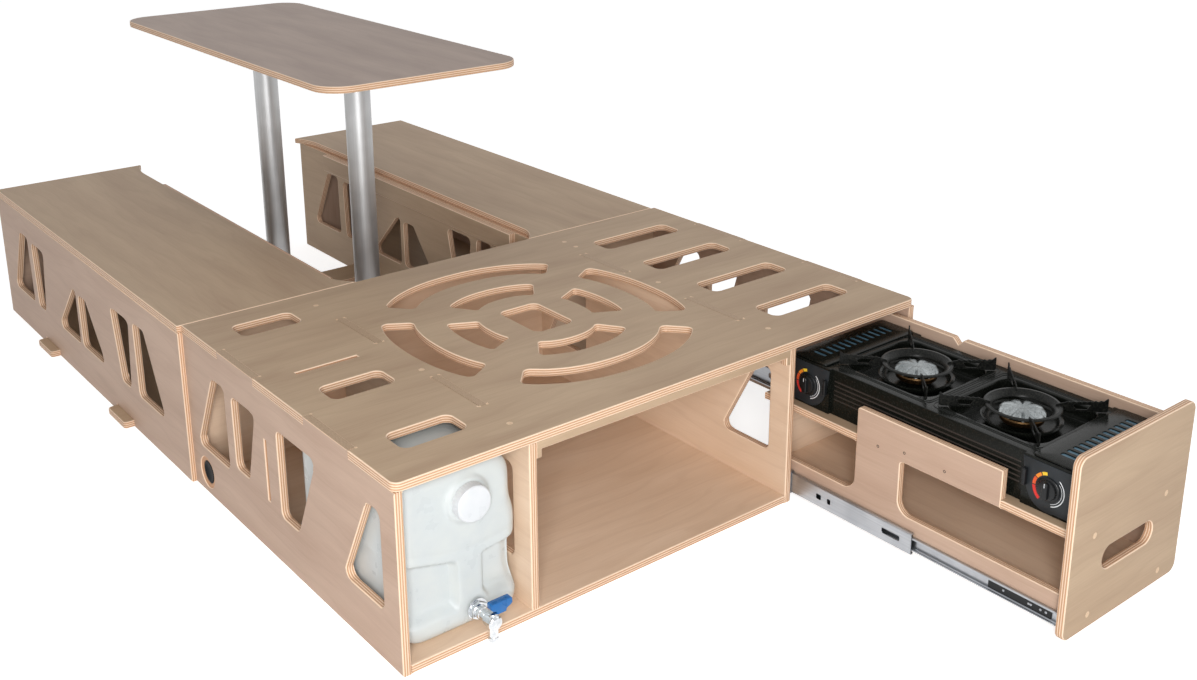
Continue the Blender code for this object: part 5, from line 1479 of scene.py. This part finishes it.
@dataclass
class WaterCan:
    """The milky polythene can in the left bay, with its cap and its chromed tap."""

    edge: float = 20 * MM
    recess: float = 16 * MM
    step_height: float = 0.142
    step_slopes: tuple[float, float] = (0.25, 0.13)
    foot_height: float = 0.050
    rib_left: float = -0.470
    rib_right: float = -0.430
    boss_radius: float = 43 * MM
    boss_rise: float = 6 * MM
    soft: float = 13 * MM
    boss_ease: float = 9 * MM
    tap_x: float = -0.4439
    tap_z: float = 0.0473
    spout_y: float = -0.4183
    cap_radius: float = 31.5 * MM
    knurls: int = 40
    tap_pad: float = 0.034
    groove_rise: float = 14 * MM
    groove_width: float = 5 * MM
    groove_depth: float = 1.2 * MM
    outline_spacing: float = 5 * MM
    outline_rounds: int = 6
    face_spacing: float = 3.4 * MM
    face_reach: float = 0.030

    def build(self) -> None:
        """Builds the can, its cap, the tap and its lever."""
        self.shell()
        self.cap()
        self.tap()
        self.tap_lever()

    @staticmethod
    def ease(value: np.ndarray) -> np.ndarray:
        """A soft step from 0 to 1: three times the square less twice the cube."""
        share = np.clip(value, 0, 1)
        return share * share * (3 - 2 * share)

    def relief(self, x: np.ndarray, z: np.ndarray) -> np.ndarray:
        """How far the front face stands back at each place: two panels recessed below the step, either side
        of a rib, less the bosses round the cap and the tap. The step is lowest at the rib and climbs away
        from it by a slope on each side."""
        left_slope, right_slope = self.step_slopes
        step = (self.step_height + left_slope * np.clip(self.rib_left - x, 0, None)
                + right_slope * np.clip(x - self.rib_right, 0, None))
        below = self.ease((step - z) / self.soft)
        above = self.ease((z - self.foot_height) / (1.4 * self.soft))
        sides = self.ease((self.rib_left - x) / self.soft) + self.ease((x - self.rib_right) / self.soft)
        cap_low, cap_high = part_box("can_cap")
        from_cap = np.hypot(x - (cap_low.x + cap_high.x) / 2, z - (cap_low.z + cap_high.z) / 2)
        from_tap = np.hypot(x - self.tap_x, z - self.tap_z)
        boss = self.ease((self.boss_radius - from_cap) / self.boss_ease)
        tap_pad = self.ease((self.tap_pad - from_tap) / self.boss_ease)
        groove = np.exp(-((z - step - self.groove_rise) / self.groove_width) ** 2)
        back = self.recess * below * above * sides * (1 - tap_pad) + self.groove_depth * groove * (1 - boss)
        return back + self.boss_rise * (1 - boss)

    def shell(self) -> None:
        """The blow-moulded shell: the CAD outline swept front to back with fat round edges, its front face
        pressed in by the relief."""
        low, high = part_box("water_can")
        loop = self.evened(cad_loops("water_can", Axis.Y, high.y)[0])
        depth = high.y - low.y
        turn = np.linspace(0, math.pi / 2, 8)
        back = [(self.edge * (1 - math.sin(a)), self.edge * (1 - math.cos(a))) for a in turn]
        rim = back + [(inset, depth - height) for inset, height in back[::-1]]
        points, faces = sweep([loop], [rim], Axis.Y, 0.0, spacing=self.face_spacing, shrink=True)
        share = self.ease((points[:, 1] - depth + self.face_reach) / self.face_reach)
        points[:, 1] -= share * self.relief(points[:, 0], points[:, 2])
        shape = mirrored((points, faces), Axis.Y, high.y)
        piece = new_piece("water_can_shell", shape, CAN_POLYTHENE, "can", "water_can")
        piece.data.polygons.foreach_set("use_smooth", np.ones(len(piece.data.polygons), bool))

    def evened(self, loop: np.ndarray) -> np.ndarray:
        """The outline with evenly spaced points, then eased by rounds of a quarter, half, quarter average."""
        closed = np.concatenate([loop, loop[:1]])
        walked = np.concatenate([[0], np.cumsum(np.linalg.norm(np.diff(closed, axis=0), axis=1))])
        places = np.linspace(0, walked[-1], int(walked[-1] / self.outline_spacing), endpoint=False)
        even = np.stack([np.interp(places, walked, closed[:, 0]), np.interp(places, walked, closed[:, 1])], -1)
        for _ in range(self.outline_rounds):
            even = (np.roll(even, 1, 0) + 2 * even + np.roll(even, -1, 0)) / 4
        return even

    def cap(self) -> None:
        """The screw cap: a knurled skirt and a smooth slightly crowned face."""
        low, high, middle = extent("can_cap")
        radius, deep = self.cap_radius, high.y - low.y
        knurl = -0.6 * MM
        rows = [(0.0, 0.0), (radius, 0.0, knurl, 0.0), (radius, deep * 0.72, knurl, 0.0),
                (radius - 0.8 * MM, deep * 0.86), (radius - 3 * MM, deep * 0.96), (radius - 8 * MM, deep * 0.985),
                (radius - 14 * MM, deep), (0.0, deep)]
        shape = moved(turned(rows, (0.0, 0.0, 0.0), Axis.Y, 5 * self.knurls, self.knurls), (middle.x, 0.0, middle.z))
        new_piece("can_cap_knurled", mirrored(shape, Axis.Y, high.y), CAP_POLYTHENE, "cap",
                  "can_cap")

    def tap(self) -> None:
        """The tap: a washer, a six-sided nut, a waisted barrel with rings, a ball housing and a spout."""
        low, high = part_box("tap_body")
        x, z, foot = self.tap_x, self.tap_z, low.z
        reach = high.y - low.y
        washer = [(0.0, 0.0), (0.0185, 0.0), (0.0185, 0.002), (0.0, 0.002)]
        nut = [(0.0, 0.002), (0.0165, 0.002), (0.0165, 0.0095), (0.0, 0.0095)]
        barrel = [(0.0, 0.008), (0.0115, 0.008), (0.0115, 0.018), (0.0095, 0.020), (0.0095, 0.030), (0.0122, 0.032),
                  (0.0128, 0.038), (0.0128, 0.052), (0.0105, reach - 0.0015), (0.006, reach), (0.0, reach)]
        rounds = ((washer, 0.5 * MM, 2, 48), (nut, 0.8 * MM, 2, 6), (barrel, 1.2 * MM, 3, 48))
        parts = []
        for corners, radius, steps, sides in rounds:
            shape = turned_round(corners, radius, steps, (0.0, 0.0, 0.0), Axis.Y, sides)
            parts.append(mirrored(moved(shape, (x, 0.0, z)), Axis.Y, high.y))
        corners = [(0.0, foot), (0.0072, foot), (0.0088, foot + 0.002), (0.0088, foot + 0.008), (0.0076, foot + 0.010),
                   (0.0080, z - 0.008), (0.0095, z), (0.0, z + 0.001)]
        spout = turned_round(corners, 0.8 * MM, 3, (x, self.spout_y, 0.0), Axis.Z, 40)
        new_piece("tap_chromed", joined([*parts, spout]), CHROME, "can", "tap_body")

    def tap_lever(self) -> None:
        """The blue lever: a T-shaped plate with eased edges, on a turned chromed stem."""
        low, high, middle = extent("tap_handle")
        half, deep = (high.x - low.x) / 2, high.y - low.y
        foot, shoulder = low.z + 2 * MM, high.z - 0.0125
        corners = [(-0.0075, foot), (0.0075, foot), (0.0095, shoulder - 0.003), (half - 0.003, shoulder),
                   (half, shoulder + 0.003), (half, high.z - 0.002), (half - 0.002, high.z), (0.002 - half, high.z),
                   (-half, high.z - 0.002), (-half, shoulder + 0.003), (0.003 - half, shoulder),
                   (-0.0095, shoulder - 0.003)]
        loop = turn_left([(z, middle.x + x) for x, z in corners])
        rim = [(1.2 * MM, 0.0), (0.3 * MM, 0.3 * MM), (0.0, 1.2 * MM), (0.0, deep - 1.2 * MM),
               (0.3 * MM, deep - 0.3 * MM), (1.2 * MM, deep)]
        stem_top = foot + 2 * MM
        corners = [(0.0, low.z), (0.0075, low.z), (0.0075, low.z + 0.002), (0.0062, stem_top), (0.0, stem_top)]
        stem = turned_round(corners, 0.6 * MM, 2, (self.tap_x, self.spout_y, 0.0), Axis.Z, 24)
        new_piece("tap_lever_bar", sweep([loop], [rim], Axis.Y, low.y), TAP_BLUE, "tap_lever",
                  "tap_handle")
        new_piece("tap_lever_stem", stem, CHROME, "tap_lever")


# Small fittings

@dataclass
class Fittings:
    """The side plug, the dowels over the screws and the bare screw heads."""

    dowel_radius: float = 5.5 * MM
    screw_radius: float = 2.8 * MM

    def build(self) -> None:
        """Builds the plug, the dowels and the screws."""
        self.plug()
        top = [(-0.348, 0.325), (-0.348, -0.070), (-0.348, -0.338), (0.267, 0.325), (0.267, 0.283), (0.260, -0.003),
               (0.257, -0.320)]
        self.dowels("top_dowels", "frame", Axis.Z, 0.330, top)
        self.dowels("drawer_front_dowels", "drawer", Axis.Y, -0.982, [(0.317, 0.175), (0.530, 0.175),
                                                                      (0.322, 0.030), (0.535, 0.026)])
        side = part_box("drawer_side_left")[0].x
        self.screws("drawer_side_screws", "drawer", side, [(-0.728, 0.197), (-0.643, 0.197), (-0.585, 0.187)])

    def plug(self) -> None:
        """The glossy plug in its recess: a flanged disc with a dished middle and a small raised rim."""
        low, high, middle = extent("side_plug")
        profile = rounded_profile([(0.0, 0.0), (0.020, 0.0), (0.0225, 0.0004), (0.0232, 0.0016), (0.0232, 0.0110),
                                   (0.0, 0.0110)], 0.5 * MM, 3)
        dish = [(0.0, 0.0016), (0.0140, 0.0012), (0.0170, 0.0002)] + profile[1:]
        outer = turned(dish, (low.x, middle.y, middle.z), Axis.X, 64)
        inner = turned_round([(0.0, 0.0), (0.030, 0.0), (0.030, 0.004), (0.0, 0.004)], 0.8 * MM, 3,
                             (high.x - 0.0042, middle.y, middle.z), Axis.X, 64)
        new_piece("side_plug_moulded", joined([outer, inner]), PLUG_PLASTIC, "frame", "side_plug")

    def dowels(self, name: str, body: str, axis: Axis, face: float, places: Rows) -> None:
        """Dowel ends sanded flush: discs that stand 0.03 mm proud, their rims eased."""
        radius = self.dowel_radius
        profile = [(0.0, -0.5 * MM), (radius, -0.5 * MM), (radius, 0.0), (radius - 0.2 * MM, 0.02 * MM),
                   (radius - 0.6 * MM, 0.03 * MM), (0.0, 0.03 * MM)]
        parts = []
        for across, up in places:
            if axis is Axis.Z:
                parts.append(turned(profile, (across, up, face), axis, 28))
            else:
                parts.append(mirrored(turned(profile, (across, 0.0, up), axis, 28), axis, face))
        new_piece(name, joined(parts), DOWEL, body)

    def screws(self, name: str, body: str, face: float, places: Rows) -> None:
        """Countersunk screw heads facing -X: a disc with a round socket drawn down in its middle."""
        r = self.screw_radius
        profile = [(0.0, -0.6 * MM), (r, -0.6 * MM), (r, 0.0), (r - 0.3 * MM, 0.1 * MM), (1.5 * MM, 0.1 * MM),
                   (1.2 * MM, -0.4 * MM), (0.0, -0.45 * MM)]
        heads = [mirrored(turned(profile, (0.0, y, z), Axis.X, 20), Axis.X, face) for y, z in places]
        new_piece(name, joined(heads), BLACK_SCREW, body)


# Camera, floor and lights

@dataclass
class Studio:
    """A pale floor, soft lamps and the camera where the photograph was taken from."""

    lens: float = 40.28
    shift: float = -0.117
    film: float = 36.0
    eye: Point = (-1.451, -1.948, 1.296)
    turn: Point = (1.2750, 0.0037, -0.6754)
    floor_size: float = 40.0
    floor_paint: str = "#e6e6e6"
    floor_lift: float = 0.72
    sky: float = 0.36

    def build(self) -> None:
        """Builds the camera, the floor, the world and the lamps."""
        self.camera()
        self.floor()
        self.world()
        self.lamp("key_softbox", (-1.6, -2.15, 1.4), (0.0, 0.2, 0.15), 0.7, 36.0)
        self.lamp("front_softbox", (-2.4, -3.7, 0.75), (0.1, 0.0, 0.15), 1.6, 60.0)
        self.lamp("fill_softbox", (2.8, -2.2, 2.2), (0.1, 0.3, 0.1), 2.6, 12.0)
        self.lamp("top_softbox", (-0.3, 1.6, 3.4), (0.0, 0.4, 0.2), 3.0, 11.0)

    def camera(self) -> None:
        """Places the camera; its lens and eye come from the photograph's straight edges."""
        data = bpy.data.cameras.new("camera")
        data.lens = self.lens
        data.sensor_width = self.film
        data.sensor_fit = "HORIZONTAL"
        data.shift_y = self.shift
        camera = bpy.data.objects.new("camera", data)
        camera.location = self.eye
        camera.rotation_euler = Euler(self.turn)
        bpy.context.scene.collection.objects.link(camera)
        bpy.context.scene.camera = camera

    def floor(self) -> None:
        """A flat floor: pale paint that the camera sees lifted to white, shadow kept."""
        half = self.floor_size / 2
        mesh = bpy.data.meshes.new("floor")
        mesh.from_pydata([(-half, -half, 0), (half, -half, 0), (half, half, 0), (-half, half, 0)], [], [(0, 1, 2, 3)])
        material, tree = new_material("floor_paint")
        paint = add_node(tree, "BsdfDiffuse", {"Color": linear(self.floor_paint)})
        lifted = add_node(tree, "Emission", {"Color": linear("#ffffff"), "Strength": self.floor_lift})
        both = add_node(tree, "AddShader", {0: paint.outputs[0], 1: lifted.outputs[0]})
        mix = add_node(tree, "MixShader", {0: seen_rays(tree), 1: paint.outputs[0], 2: both.outputs[0]})
        add_node(tree, "OutputMaterial", {"Surface": mix.outputs[0]})
        mesh.materials.append(material)
        floor = bpy.data.objects.new("floor", mesh)
        bpy.context.scene.collection.objects.link(floor)

    def world(self) -> None:
        """White where it is seen or reflected, and a plain soft light elsewhere."""
        world = bpy.data.worlds.new("studio")
        world.use_nodes = True
        tree = world.node_tree
        tree.nodes.clear()
        strength = ranged(tree, seen_rays(tree), 0.0, 1.0, self.sky, 1.0)
        sky = add_node(tree, "Background", {"Color": linear("#ffffff"), "Strength": strength})
        add_node(tree, "OutputWorld", {"Surface": sky.outputs[0]})
        bpy.context.scene.world = world
        bpy.context.scene.view_settings.view_transform = "Standard"

    @staticmethod
    def lamp(name: str, place: Point, target: Point, size: float, power: float) -> None:
        """A square softbox that faces a target."""
        data = bpy.data.lights.new(name, "AREA")
        data.size = size
        data.energy = power
        lamp = bpy.data.objects.new(name, data)
        lamp.location = place
        lamp.rotation_euler = (Vector(target) - Vector(place)).to_track_quat("-Z", "Y").to_euler()
        bpy.context.scene.collection.objects.link(lamp)


def main() -> None:
    """Builds the dressed object piece by piece, then the studio round it."""
    logging.basicConfig(level=logging.INFO, format="%(name)s: %(message)s")
    Joinery().build()
    Stove().build()
    for end, leg in (("front", "front_leg"), ("rear", "rear_leg")):
        Burner(end).build()
        Leg(end, leg).build()
    for side in ("left", "right"):
        Slide(side).build()
    WaterCan().build()
    Fittings().build()
    Studio().build()


if __name__ == "__main__":
    main()
